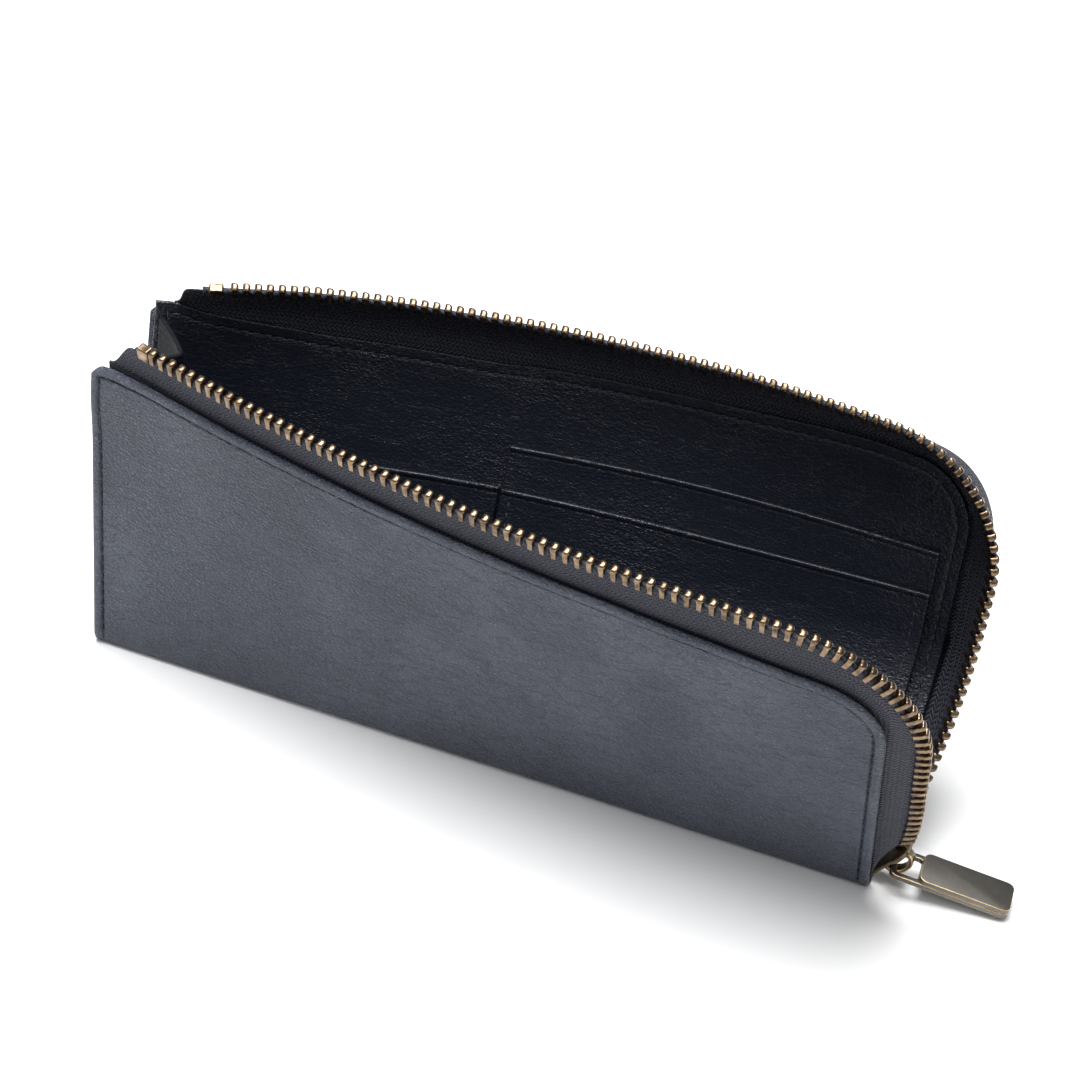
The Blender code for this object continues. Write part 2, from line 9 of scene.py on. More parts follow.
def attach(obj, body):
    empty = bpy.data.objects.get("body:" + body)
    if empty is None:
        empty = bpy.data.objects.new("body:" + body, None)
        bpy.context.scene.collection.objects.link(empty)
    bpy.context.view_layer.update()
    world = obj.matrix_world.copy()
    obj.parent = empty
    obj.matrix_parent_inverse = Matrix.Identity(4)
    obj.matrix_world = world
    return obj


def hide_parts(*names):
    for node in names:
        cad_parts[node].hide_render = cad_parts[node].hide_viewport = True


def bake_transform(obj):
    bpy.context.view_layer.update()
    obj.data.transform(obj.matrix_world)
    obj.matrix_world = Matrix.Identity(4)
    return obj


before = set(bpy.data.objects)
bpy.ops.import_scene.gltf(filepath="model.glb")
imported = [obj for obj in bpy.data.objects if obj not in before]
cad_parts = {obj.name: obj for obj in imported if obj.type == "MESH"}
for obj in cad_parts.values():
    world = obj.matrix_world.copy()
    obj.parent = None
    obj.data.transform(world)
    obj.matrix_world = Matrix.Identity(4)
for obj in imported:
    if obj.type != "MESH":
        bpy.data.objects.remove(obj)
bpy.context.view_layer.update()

MM = 0.001

# Covers, measured flat, and how far they stand apart: the same driving sizes as the CAD part
COVER_LENGTH = 181.0 * MM
COVER_HEIGHT = 76.4 * MM
COVER_CORNER = 11.0 * MM
LINING_HEIGHT = 74.4 * MM
FRONT_LINING_CUT = 4.6 * MM
ORIGIN_X = COVER_LENGTH / 2
FOLD_HALF_WIDTH = 8.8 * MM
BACK_SPLAY = 25.7 * MM
FOOT_WIDTHS = (9.6 * MM, 12.0 * MM, 5.0 * MM)
BOW_HEIGHT = 36.0 * MM
FRONT_LEAN = (-0.6, 40.0, -20.6)
BACK_LEAN = (8.1, 38.3, -45.6, 6.0)
LEAN_LENGTH = 177.8 * MM
BOTTOM_ROUND = 4.0 * MM

# The visible leather: its worn corners, and where each skin starts and stops
SOFT_CORNER = {"front": 15.0 * MM, "back": 14.0 * MM}
LEFT_ROUND = {"front": 3.2 * MM, "back": 2.0 * MM}
FRONT_FOOT = 2.6 * MM
UNDER_START = 6.4 * MM
LINING_LEFT = 1.0 * MM
LINING_RIGHT = COVER_LENGTH - 0.6 * MM
LINING_UNDER_START = 6.2 * MM
FRONT_LINING_FOOT = 4.6 * MM
LINING_GROOVE_AT = 2.6 * MM

# Thicknesses and depths inside the outer leather
GAP = 0.3 * MM
LEATHER = 1.2 * MM
TAPE = 0.6 * MM
LINING = 0.8 * MM
TAPE_DEPTH = LEATHER + GAP + TAPE / 2
LINING_DEPTH = LEATHER + GAP + TAPE + GAP
POCKET_DEPTH = LINING_DEPTH + LINING + GAP

# Turned edge and stitching
EDGE_STEPS = np.array([0, 0.04, 0.12, 0.25, 0.42, 0.65, 0.95, 1.3, 1.65, 1.92, 2.1, 2.22, 2.34, 2.46, 2.58,
                       2.75, 3.05, 3.5, 4.2, 5.2]) * MM
BORDER_RISE = 0.5 * MM
GROOVE_AT = 2.4 * MM
GROOVE_DEPTH = 0.6 * MM
GROOVE_WIDTH = 0.26 * MM
STITCH_PITCH = 2.5 * MM
STITCH_LENGTH = 1.75 * MM
THREAD = 0.2 * MM

# Waviness of top edges, as (share of the length, rise in mm)
FRONT_WAVE = ((0.0, -0.9), (0.03, 0.4), (0.08, 0.7), (0.2, 0.0), (0.5, 0.0), (0.68, 0.4), (0.8, -0.2),
              (0.9, -1.7), (0.93, -2.1), (1.0, -2.0))
BACK_WAVE = ((0.0, -1.6), (0.05, -1.3), (0.15, -0.6), (0.42, -1.0), (0.7, -0.5), (0.9, -1.0), (1.0, -1.5))
LINING_WAVE = ((0.0, 2.9), (0.03, 2.9), (0.055, 1.2), (0.08, 0.6), (0.11, 0.1), (0.15, -0.4), (0.2, -0.9),
               (0.4, -0.85), (0.465, 0.0), (0.55, 0.4), (0.72, 0.75), (0.81, 1.4), (0.87, 1.6), (0.94, 0.8),
               (1.0, 0.0))
CHAIN_WAVE = {
    "front": ((0.0, 0.5), (0.09, 0.2), (0.21, -0.2), (0.33, -0.5), (0.55, -0.4), (0.66, 0.0), (0.77, 0.6),
              (0.86, 0.3), (1.0, 0.0)),
    "back": ((0.0, -2.6), (0.1, -2.2), (0.2, -0.9), (0.3, -0.4), (0.5, 0.0), (0.7, 0.0), (0.85, -0.4),
             (1.0, -0.4)),
}

# Zip
PITCH = 2.54 * MM
CHAIN_HEIGHT = 85.9 * MM
CHAIN_LENGTH = 188.4 * MM
CHAIN_CORNER = {"front": 31.0 * MM, "back": 27.0 * MM}
CHAIN_START = {"front": 16.2 * MM, "back": 19.0 * MM}
CHAIN_END = 15.6 * MM
STOP_BEFORE = {"front": 1.8 * MM, "back": 3.3 * MM}
STOP_SIZE = {"front": (2.9 * MM, 3.3 * MM, 2.3 * MM), "back": (3.1 * MM, 2.2 * MM, 2.2 * MM)}
TAPE_HEM = 6.0 * MM
FRONT_TAPE_INSET = (0.15 * MM, 2.8 * MM)
BACK_TAPE_INSET = (8.7 * MM, 5.6 * MM)
FRONT_DRAW_IN = 2.7 * MM
BACK_DRAW_IN = 21.0 * MM
DRAW_IN_HEIGHT = 76.2 * MM
SIDE_RUN_IN = {"front": 5.5 * MM, "back": 6.0 * MM}
SIDE_RUN_HEIGHT = {"front": 33.0 * MM, "back": 48.0 * MM}
SLIDER_RUN_IN = {"front": 6.0 * MM, "back": 76.0 * MM}
SLIDER_RUN_HEIGHT = 22.0 * MM
TAPE_START = {"front": 12.7 * MM, "back": 14.0 * MM}
TAPE_RISE = {"front": 7.5 * MM, "back": 5.5 * MM}
TAPE_TAIL = 14.5 * MM
TAIL_DRAW = {"front": 3, "back": 1}
TAPE_RIM = 1.5 * MM
FIRST_TOOTH = 0.65 * MM
CORD_DEPTH = 1.35 * MM
CORD_RADIUS = 0.72 * MM
CORD_LEAD = 2.5 * MM
STOP_DEPTH = 0.7 * MM

# Pockets and gusset
POCKET_RIGHT = 175.5 * MM
POCKET_DIVIDE = 79.4 * MM
POCKET_LEFT = 6.0 * MM
POCKET_FOOT = 7.0 * MM
UPPER_POCKET = 55.9 * MM
LOWER_POCKET = 45.6 * MM
GUSSET_WIDTH = 14.6 * MM
GUSSET_THICKNESS = 1.0 * MM
GUSSET_FOOT = 5.0 * MM
GUSSET_TOP = 74.4 * MM
GUSSET_EDGE_X = 2.0 * MM

# View
VIEW_AZIMUTH = radians(16.88)
VIEW_ELEVATION = radians(38.24)
VIEW_ROLL = radians(6.1)
VIEW_DISTANCE = 0.6204
VIEW_TARGET = Vector((0.0038, 0.0146, 0.0462))
VIEW_LENS = 97.1


# ---------------------------------------------------------------- covers' surfaces

def lean(coefficients, x):
    """How far a cover leans at x, in radians."""
    t = np.clip(x / LEAN_LENGTH, 0.0, 1.08)
    return np.radians(sum(c * t ** i for i, c in enumerate(coefficients)))


def front_surface(x, v):
    """Points on the outside of the front cover, at x along it and v up it."""
    angle = lean(FRONT_LEAN, x)
    return np.stack([x, -(FOLD_HALF_WIDTH + v * np.sin(angle)), v * np.cos(angle)], -1)


def foot_width(x):
    """Where the back cover's foot stands at x."""
    t = x / LEAN_LENGTH
    first, middle, last = FOOT_WIDTHS
    return first * (1 - t) ** 2 + (4 * middle - first - last) * t * (1 - t) + last * t * t


def back_surface(x, v):
    """Points on the outside of the back cover, which bows out from its foot."""
    angle = lean(BACK_LEAN, x)
    foot = foot_width(x)
    full = FOLD_HALF_WIDTH + BACK_SPLAY * x / LEAN_LENGTH
    bow = 1.0 - (1.0 - np.clip(v / BOW_HEIGHT, 0.0, 1.0)) ** 2
    return np.stack([x, foot + (full - foot) * bow + v * np.sin(angle), v * np.cos(angle)], -1)


def inward(surface, x, v, depth):
    """The points depth inside the cover at (x, v)."""
    x, v = np.broadcast_arrays(np.asarray(x, float), np.asarray(v, float))
    step = 0.5 * MM
    along_x = surface(x + step, v) - surface(x - step, v)
    along_v = surface(x, v + step) - surface(x, v - step)
    normal = np.cross(along_x, along_v)
    normal /= np.linalg.norm(normal, axis=-1, keepdims=True)
    towards = 1.0 if surface is front_surface else -1.0
    normal *= np.sign(normal[..., 1:2] * towards)
    return surface(x, v) + normal * np.asarray(depth)[..., None]


def corner_height(x, length, height, radius):
    """Height of a cover's top edge at x, with its right-hand corner rounded."""
    past = np.clip(x - (length - radius), 0.0, radius)
    return height - radius + np.sqrt(radius ** 2 - past ** 2)


def smoothed(table):
    """The table's rises at even shares of the length, with its corners smoothed."""
    share, rise = np.array(table).T
    kernel = np.hanning(9)
    padded = np.pad(np.interp(SHARES, share, rise), 4, mode="edge")
    return np.convolve(padded, kernel / kernel.sum(), mode="valid") * MM


SHARES = np.linspace(0, 1, 200)
WAVES = {
    "front": smoothed(FRONT_WAVE),
    "back": smoothed(BACK_WAVE),
    "lining": smoothed(LINING_WAVE),
    "front_chain": smoothed(CHAIN_WAVE["front"]),
    "back_chain": smoothed(CHAIN_WAVE["back"]),
}


def wave(name, x):
    """A smooth rise along a top edge or a row of teeth."""
    return np.interp(x / COVER_LENGTH, SHARES, WAVES[name])


def edge_distance(x, v, length, height, radius, left=0.0):
    """Distance to a cover's left, right and top edges, whose right-hand corner is rounded."""
    right = np.minimum(length - x, height - v)
    px, pv = x - (length - radius), v - (height - radius)
    round_corner = radius - np.hypot(np.maximum(px, 0), np.maximum(pv, 0))
    right = np.where((px > 0) & (pv > 0), round_corner, right)
    return np.maximum(np.minimum(right, x - left), 0.0)


# ---------------------------------------------------------------- meshes

def link(name, points, faces, uv=None):
    """A smooth mesh object from points measured from the closed end."""
    points = np.asarray(points, float).reshape(-1, 3) - (ORIGIN_X, 0, 0)
    mesh = bpy.data.meshes.new(name)
    mesh.from_pydata(points.tolist(), [], [tuple(int(i) for i in f) for f in faces])
    mesh.validate()
    if uv is not None:
        layer = mesh.uv_layers.new(name="flat")
        corners = np.empty(len(mesh.loops), int)
        mesh.loops.foreach_get("vertex_index", corners)
        layer.data.foreach_set("uv", np.asarray(uv, float)[corners].ravel())
    bm = bmesh.new()
    bm.from_mesh(mesh)
    bmesh.ops.recalc_face_normals(bm, faces=bm.faces)
    bm.to_mesh(mesh)
    bm.free()
    mesh.shade_smooth()
    obj = bpy.data.objects.new(name, mesh)
    bpy.context.scene.collection.objects.link(obj)
    return obj


def grid_faces(rows, columns, start=0, flip=False, closed=False):
    """Quads between the points of a grid whose numbers begin at start."""
    i, j = np.meshgrid(np.arange(rows - 1), np.arange(columns - (not closed)), indexing="ij")
    after = (j + 1) % columns
    quads = np.stack([i * columns + j, (i + 1) * columns + j, (i + 1) * columns + after,
                      i * columns + after], -1).reshape(-1, 4) + start
    return quads[:, ::-1] if flip else quads


def closed_sheet(name, outer, inner, flat):
    """A closed thin solid between two grids, with flat coordinates for its texture."""
    rows, columns = outer.shape[:2]
    half = rows * columns
    faces = [grid_faces(rows, columns), grid_faces(rows, columns, half, True)]
    index = np.arange(half).reshape(rows, columns)
    ring = np.concatenate([index[0, :-1], index[:-1, -1], index[-1, :0:-1], index[:0:-1, 0]])
    after = np.roll(ring, -1)
    faces.append(np.stack([ring, after, after + half, ring + half], -1))
    points = np.concatenate([outer.reshape(-1, 3), inner.reshape(-1, 3)])
    flat = flat.reshape(-1, 2)
    return link(name, points, np.concatenate(faces), np.concatenate([flat, flat]))


def grid_normal(grid):
    """Unit normals of a grid of points."""
    a = np.gradient(grid, axis=0)
    b = np.gradient(grid, axis=1)
    normal = np.cross(a, b)
    length = np.linalg.norm(normal, axis=-1, keepdims=True)
    return normal / np.maximum(length, 1e-12)


def rounding(distance, radius):
    """How far a face sinks near an edge rounded with that radius."""
    inside = np.clip(1.0 - distance / radius, 0.0, 1.0)
    return radius * (1.0 - np.sqrt(1.0 - inside ** 2)) * 0.98


def soft_noise(points, scale, seed):
    """Smooth noise, about -1 to 1, at each point."""
    shift = Vector((seed * 7.3, seed * 3.1, seed * 1.7))
    flat = points.reshape(-1, 3)
    values = [noise.noise(Vector(p) * scale + shift) for p in flat]
    return np.array(values).reshape(points.shape[:-1])


def border_relief(distance, groove_at=GROOVE_AT, rise=BORDER_RISE, depth=GROOVE_DEPTH):
    """Outward relief of a turned, stitched edge: a rounded roll, then a groove."""
    share = distance / groove_at
    roll = np.where(share < 1, rise * (0.3 + 2.8 * share * (1 - share)), 0)
    beyond = 0.3 * rise * np.exp(-((distance - groove_at) / (0.9 * MM)) ** 2)
    groove = np.exp(-((distance - groove_at) / GROOVE_WIDTH) ** 2)
    return roll + np.where(share < 1, 0, beyond) - depth * groove


def x_stations(left, right, spacing, corner=COVER_CORNER):
    """Stations along a cover, close together at both ends."""
    tail = np.arange(EDGE_STEPS[-1] + 0.5 * MM, corner + 1.5 * MM, 0.5 * MM)
    start = left + EDGE_STEPS
    end = right - np.concatenate([EDGE_STEPS, tail])[::-1]
    count = int((end[0] - start[-1]) / spacing) + 1
    return np.concatenate([start, np.linspace(start[-1], end[0], count)[1:-1], end])


def tube(name, centres, sides, radius, uv_scale=1.0):
    """A round tube through centres, closed at both ends."""
    centres = np.asarray(centres)
    tangent = np.gradient(centres, axis=0)
    tangent /= np.linalg.norm(tangent, axis=1)[:, None]
    normal = np.cross(tangent, [0.3, 0.2, 0.93])
    normal /= np.linalg.norm(normal, axis=1)[:, None]
    binormal = np.cross(tangent, normal)
    angle = np.linspace(0, 2 * pi, sides, endpoint=False)
    ring = normal[:, None] * np.cos(angle)[None, :, None] + binormal[:, None] * np.sin(angle)[None, :, None]
    radius = np.broadcast_to(radius, len(centres))
    points = centres[:, None] + ring * radius[:, None, None]
    rows = len(centres)
    faces = [list(f) for f in grid_faces(rows, sides, closed=True)]
    faces.append(list(range(sides)))
    faces.append(list(range((rows - 1) * sides, rows * sides))[::-1])
    length = np.concatenate([[0], np.cumsum(np.linalg.norm(np.diff(centres, axis=0), axis=1))])
    uv = np.stack(np.broadcast_arrays(length[:, None] * uv_scale, angle[None, :] / (2 * pi)), -1)
    return link(name, points, faces, uv.reshape(-1, 2))


def copies(name, points, faces, frames):
    """One mesh holding a copy of a small shape at each (centre, axes) frame."""
    points = np.asarray(points, float)
    placed, all_faces = [], []
    for k, (centre, axes) in enumerate(frames):
        placed.append(centre + points @ np.array(axes))
        all_faces += [[i + k * len(points) for i in f] for f in faces]
    return link(name, np.concatenate(placed), all_faces)


# ---------------------------------------------------------------- materials

class Graph:
    """Short calls for building a material's nodes."""

    def __init__(self, name):
        self.material = bpy.data.materials.new(name)
        self.material.use_nodes = True
        self.tree = self.material.node_tree
        self.shader = self.tree.nodes["Principled BSDF"]

    def put(self, kind, values=None, **settings):
        """Adds a node. A value is either a number for an input or a socket to link to it."""
        node = self.tree.nodes.new(kind)
        for key, value in settings.items():
            setattr(node, key, value)
        for key, value in (values or {}).items():
            if isinstance(value, bpy.types.NodeSocket):
                self.tree.links.new(value, node.inputs[key])
            else:
                node.inputs[key].default_value = value
        return node

    def place(self, scale=(1, 1, 1), source="Object"):
        """Texture coordinates, stretched by scale."""
        coordinates = self.put("ShaderNodeTexCoord").outputs[source]
        return self.put("ShaderNodeMapping", {"Vector": coordinates, "Scale": scale}).outputs[0]

    def noise(self, vector, scale, detail=3.0, roughness=0.55, distortion=0.0):
        values = {"Vector": vector, "Scale": scale, "Detail": detail, "Roughness": roughness,
                  "Distortion": distortion}
        return self.put("ShaderNodeTexNoise", values).outputs["Fac"]

    def cells(self, vector, scale, feature="F1", smooth=None):
        values = {"Vector": vector, "Scale": scale}
        if smooth is not None:
            values["Smoothness"] = smooth
        return self.put("ShaderNodeTexVoronoi", values, feature=feature).outputs["Distance"]

    def math(self, operation, a, b=0.0, clamp=False):
        return self.put("ShaderNodeMath", {0: a, 1: b}, operation=operation, use_clamp=clamp).outputs[0]

    def spread(self, value, low, high, to_low, to_high):
        """Maps low..high to to_low..to_high."""
        values = {"Value": value, "From Min": low, "From Max": high, "To Min": to_low, "To Max": to_high}
        return self.put("ShaderNodeMapRange", values).outputs[0]

    def mix(self, factor, a, b):
        node = self.put("ShaderNodeMix", {"Factor": factor}, data_type="RGBA")
        for socket, value in ((node.inputs[6], a), (node.inputs[7], b)):
            if isinstance(value, bpy.types.NodeSocket):
                self.tree.links.new(value, socket)
            else:
                socket.default_value = (*value, 1.0)
        return node.outputs[2]

    def bump(self, height, strength, distance, normal=None):
        values = {"Height": height, "Strength": strength, "Distance": distance}
        if normal is not None:
            values["Normal"] = normal
        return self.put("ShaderNodeBump", values).outputs[0]

    def shade(self, **values):
        """Sets or links the shader's inputs, and returns the material."""
        names = {"base": "Base Color", "roughness": "Roughness", "normal": "Normal", "metallic": "Metallic",
                 "specular": "Specular IOR Level"}
        for key, value in values.items():
            socket = self.shader.inputs[names[key]]
            if isinstance(value, bpy.types.NodeSocket):
                self.tree.links.new(value, socket)
            elif isinstance(value, tuple):
                socket.default_value = (*value, 1.0)
            else:
                socket.default_value = value
        return self.material


def leather(name, dark, light, rough, cell=0.75 * MM, depth=0.3 * MM, strength=0.8, wrinkles=0.4,
            gloss=0.5):
    """Fine-grained leather: soft small pebbles, stronger in patches, crossed by thin wrinkles. Its colour has
    painted shade in the grain's valleys and along the wrinkles.
    """
    g = Graph(name)
    place = g.place((0.85, 0.85, 1.25))
    bend = g.put("ShaderNodeTexNoise", {"Vector": place, "Scale": 0.5 / cell, "Detail": 3.0}).outputs["Color"]
    warped = g.put("ShaderNodeVectorMath", {0: bend}, operation="SCALE")
    warped.inputs["Scale"].default_value = cell * 2.0
    vector = g.put("ShaderNodeVectorMath", {0: place, 1: warped.outputs[0]}, operation="ADD").outputs[0]
    pebble = g.spread(g.cells(vector, 1.0 / cell, "SMOOTH_F1", 0.7), 0.1, 0.75, 1.0, 0.0)
    valley = g.spread(g.cells(vector, 1.0 / cell, "DISTANCE_TO_EDGE"), 0.0, 0.3, 0.0, 1.0)
    patch = g.spread(g.noise(g.place(), 40.0, 3.0), 0.38, 0.64, 0.45, 1.35)
    long = g.noise(g.place((0.55, 0.55, 1.5)), 0.2 / cell, 3.0, 0.6, 0.9)
    crease = g.math("ABSOLUTE", g.math("SUBTRACT", long, 0.5))
    wrinkle = g.spread(crease, 0.0, 0.022, 0.0, 1.0)
    height = g.math("ADD", g.math("MULTIPLY", valley, 0.3), g.math("MULTIPLY", pebble, 0.5))
    height = g.math("ADD", g.math("MULTIPLY", height, patch), g.math("MULTIPLY", wrinkle, wrinkles))
    height = g.math("ADD", height, g.math("MULTIPLY", g.noise(vector, 2.0 / cell, 3.0), 0.35))
    # Painted shade: the colour is darkened in the grain's valleys and along the wrinkles, where shade falls.
    # The mottle is the leather's own random tone.
    valley_shade = g.math("MULTIPLY", g.math("SUBTRACT", 1.0, valley), 0.5)
    line = g.math("MULTIPLY", g.math("SUBTRACT", 1.0, valley_shade), g.spread(wrinkle, 0.0, 1.0, 0.7, 1.0))
    mottle = g.spread(g.noise(g.place(), 30.0, 3.0), 0.3, 0.7, 0.86, 1.0)
    tone = g.math("MULTIPLY", line, mottle, True)
    return g.shade(base=g.mix(tone, dark, light), roughness=g.spread(line, 0.4, 1.0, rough + 0.15, rough),
                   normal=g.bump(height, strength, depth), specular=gloss)


def woven(name, dark, light, rough):
    """Zip tape: a fine herringbone of short slanted stitches, laid along the tape's flat coordinates. Its
    colour follows the weave's height: painted shade in the hollows between the loops.
    """
    g = Graph(name)
    flat = g.place((1.0, 1.0, 1.0), "UV")
    bend = g.put("ShaderNodeTexNoise", {"Vector": flat, "Scale": 350.0, "Detail": 2.0}).outputs["Color"]
    shift = g.put("ShaderNodeVectorMath", {0: bend}, operation="SCALE")
    shift.inputs["Scale"].default_value = 0.0007
    vector = g.put("ShaderNodeVectorMath", {0: flat, 1: shift.outputs[0]}, operation="ADD").outputs[0]
    parts = g.put("ShaderNodeSeparateXYZ", {0: vector})
    along, across = parts.outputs[0], parts.outputs[1]
    rib = g.math("PINGPONG", across, 1.0 * MM)
    slant = g.math("ADD", along, g.math("MULTIPLY", rib, 0.9))
    loops = g.math("ABSOLUTE", g.math("SINE", g.math("MULTIPLY", slant, pi / (1.0 * MM))))
    rows = g.math("ABSOLUTE", g.math("SINE", g.math("MULTIPLY", across, pi / (1.0 * MM))))
    fine = g.noise(vector, 2600.0, 3.0)
    height = g.math("ADD", g.math("MULTIPLY", loops, g.math("ADD", g.math("MULTIPLY", rows, 0.6), 0.4)),
                    g.math("MULTIPLY", fine, 0.7))
    # Painted shade: the colour is darker where the weave is low, between the loops; the fine noise in the
    # height adds random tone.
    tone = g.spread(height, 0.25, 1.3, 0.0, 1.0)
    return g.shade(base=g.mix(tone, dark, light), roughness=g.spread(fine, 0.3, 0.7, rough, rough + 0.12),
                   normal=g.bump(height, 1.0, 0.4 * MM))


def twisted(name, dark, light, turns):
    """Thread or cord with a visible twist. Its colour follows the strands' height: painted shade between the
    strands.
    """
    g = Graph(name)
    vector = g.place((1.0, 1.0, 1.0))
    strands = g.put("ShaderNodeTexWave", {"Vector": vector, "Scale": turns, "Distortion": 3.0},
                    bands_direction="DIAGONAL").outputs["Fac"]
    fuzz = g.noise(vector, 3000.0, 3.0)
    height = g.math("ADD", strands, g.math("MULTIPLY", fuzz, 0.5))
    # Painted shade: the colour is darker between the twisted strands, where they sink.
    return g.shade(base=g.mix(g.spread(height, 0.2, 1.3, 0.0, 1.0), dark, light),
                   roughness=g.spread(fuzz, 0.3, 0.7, 0.55, 0.75), normal=g.bump(height, 0.6, 0.12 * MM))


def brass(name, dark, light, rough, tarnish=0.5, brushed=(1, 1, 1), strength=0.15, scale=700.0):
    """Brass whose colour varies between darker tarnish and bright metal in random clouds and fine noise."""
    g = Graph(name)
    cloud = g.noise(g.place(), 420.0, 4.0, 0.6)
    fine = g.noise(g.place(brushed), scale, 4.0, 0.6)
    broad = g.spread(cloud, 0.35, 0.65, 0.0, tarnish)
    tone = g.math("ADD", broad, g.spread(fine, 0.3, 0.7, 0.0, 1 - tarnish), True)
    polish = g.spread(fine, 0.3, 0.7, rough + 0.08, rough - 0.05)
    return g.shade(base=g.mix(tone, dark, light), roughness=polish,
                   normal=g.bump(fine, strength, 0.08 * MM), metallic=1.0)


def make_materials():
    return {
        "outer": leather("outer_leather", (0.006, 0.0075, 0.013), (0.079, 0.092, 0.13), 0.37,
                         cell=0.78 * MM, depth=0.5 * MM, strength=1.0, wrinkles=0.3),
        # Painted shade: the lining's colours are darker than the outer leather's, partly the lining's own
        # darker colour, partly shade of the wallet's inside.
        "inner": leather("inner_leather", (0.003, 0.004, 0.008), (0.013, 0.0155, 0.027), 0.27,
                         cell=0.85 * MM, depth=0.2 * MM, strength=0.8, wrinkles=0.2),
        # Painted shade: the gusset's colours are far darker than the lining's, standing in for shade on the
        # end panel folded between the covers.
        "gusset": leather("gusset_leather_painted_shade", (0.002, 0.0025, 0.004), (0.006, 0.007, 0.011), 0.58,
                          cell=0.7 * MM, depth=0.2 * MM, gloss=0.15),
        "tape": woven("zip_tape", (0.006, 0.0065, 0.012), (0.045, 0.048, 0.071), 0.6),
        # Painted shade: the cord's colours are darker than the tape's, standing in for shade between the
        # teeth.
        "cord": twisted("zip_cord", (0.004, 0.005, 0.010), (0.022, 0.025, 0.044), 420.0),
        "thread": twisted("stitch_thread", (0.003, 0.004, 0.007), (0.014, 0.016, 0.025), 900.0),
        # Painted highlight: the thread inside the wallet is coloured lighter than the cover's stitching
        # thread, though it is the same thread.
        "inner_thread_painted_highlight": twisted("inner_thread_painted_highlight", (0.01, 0.012, 0.02), (0.06, 0.065, 0.09), 900.0),
        "teeth": brass("antique_brass", (0.045, 0.03, 0.02), (0.36, 0.255, 0.165), 0.3),
        "slider": brass("slider_brass", (0.05, 0.037, 0.022), (0.26, 0.2, 0.115), 0.34),
        "satin": brass("satin_brass", (0.12, 0.112, 0.1), (0.185, 0.175, 0.158), 0.42,
                       tarnish=0.3, brushed=(1, 9, 9), strength=0.1, scale=900.0),
        "polished": brass("polished_brass", (0.45, 0.32, 0.16), (0.9, 0.7, 0.4), 0.3, 0.35),
    }


MATERIALS = make_materials()


def dress(obj, material, body, replaces=()):
    """Gives a piece its material, its body and the CAD nodes it stands for."""
    obj.data.materials.clear()
    obj.data.materials.append(MATERIALS[material])
    if body:
        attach(obj, body)
    if replaces:
        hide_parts(*replaces)
    return obj


# ---------------------------------------------------------------- outer leather

def edge_rise(x, side):
    """Rise of a cover's top edge over a straight line, with its corner at the closed end worn round."""
    worn = LEFT_ROUND[side]
    return wave(side, x) - 0.7 * worn * np.clip(1.0 - x / worn, 0.0, 1.0) ** 2


def cover_top(x, side):
    return corner_height(x, COVER_LENGTH, COVER_HEIGHT, SOFT_CORNER[side]) + edge_rise(x, side)


def cover_rows(x, top, foot, count, corner):
    """Heights from the top edge down to foot, close together under the edge."""
    past = np.clip(x - (x[-1] - corner), 0, corner)
    slope = np.minimum(corner / np.sqrt(np.maximum(corner ** 2 - past ** 2, 1e-9)), 2.6)
    edge = top[None, :] - EDGE_STEPS[:, None] * slope
    share = np.linspace(0, 1, count)[1:, None]
    return np.concatenate([edge, edge[-1] * (1 - share) + foot * share])


def fold_curve(start, corner, end, count):
    """Points of a rounded fold between start and end."""
    t = np.linspace(0, 1, count + 2)[1:-1, None, None]
    return start * (1 - t) ** 2 + corner * 2 * t * (1 - t) + end * t * t


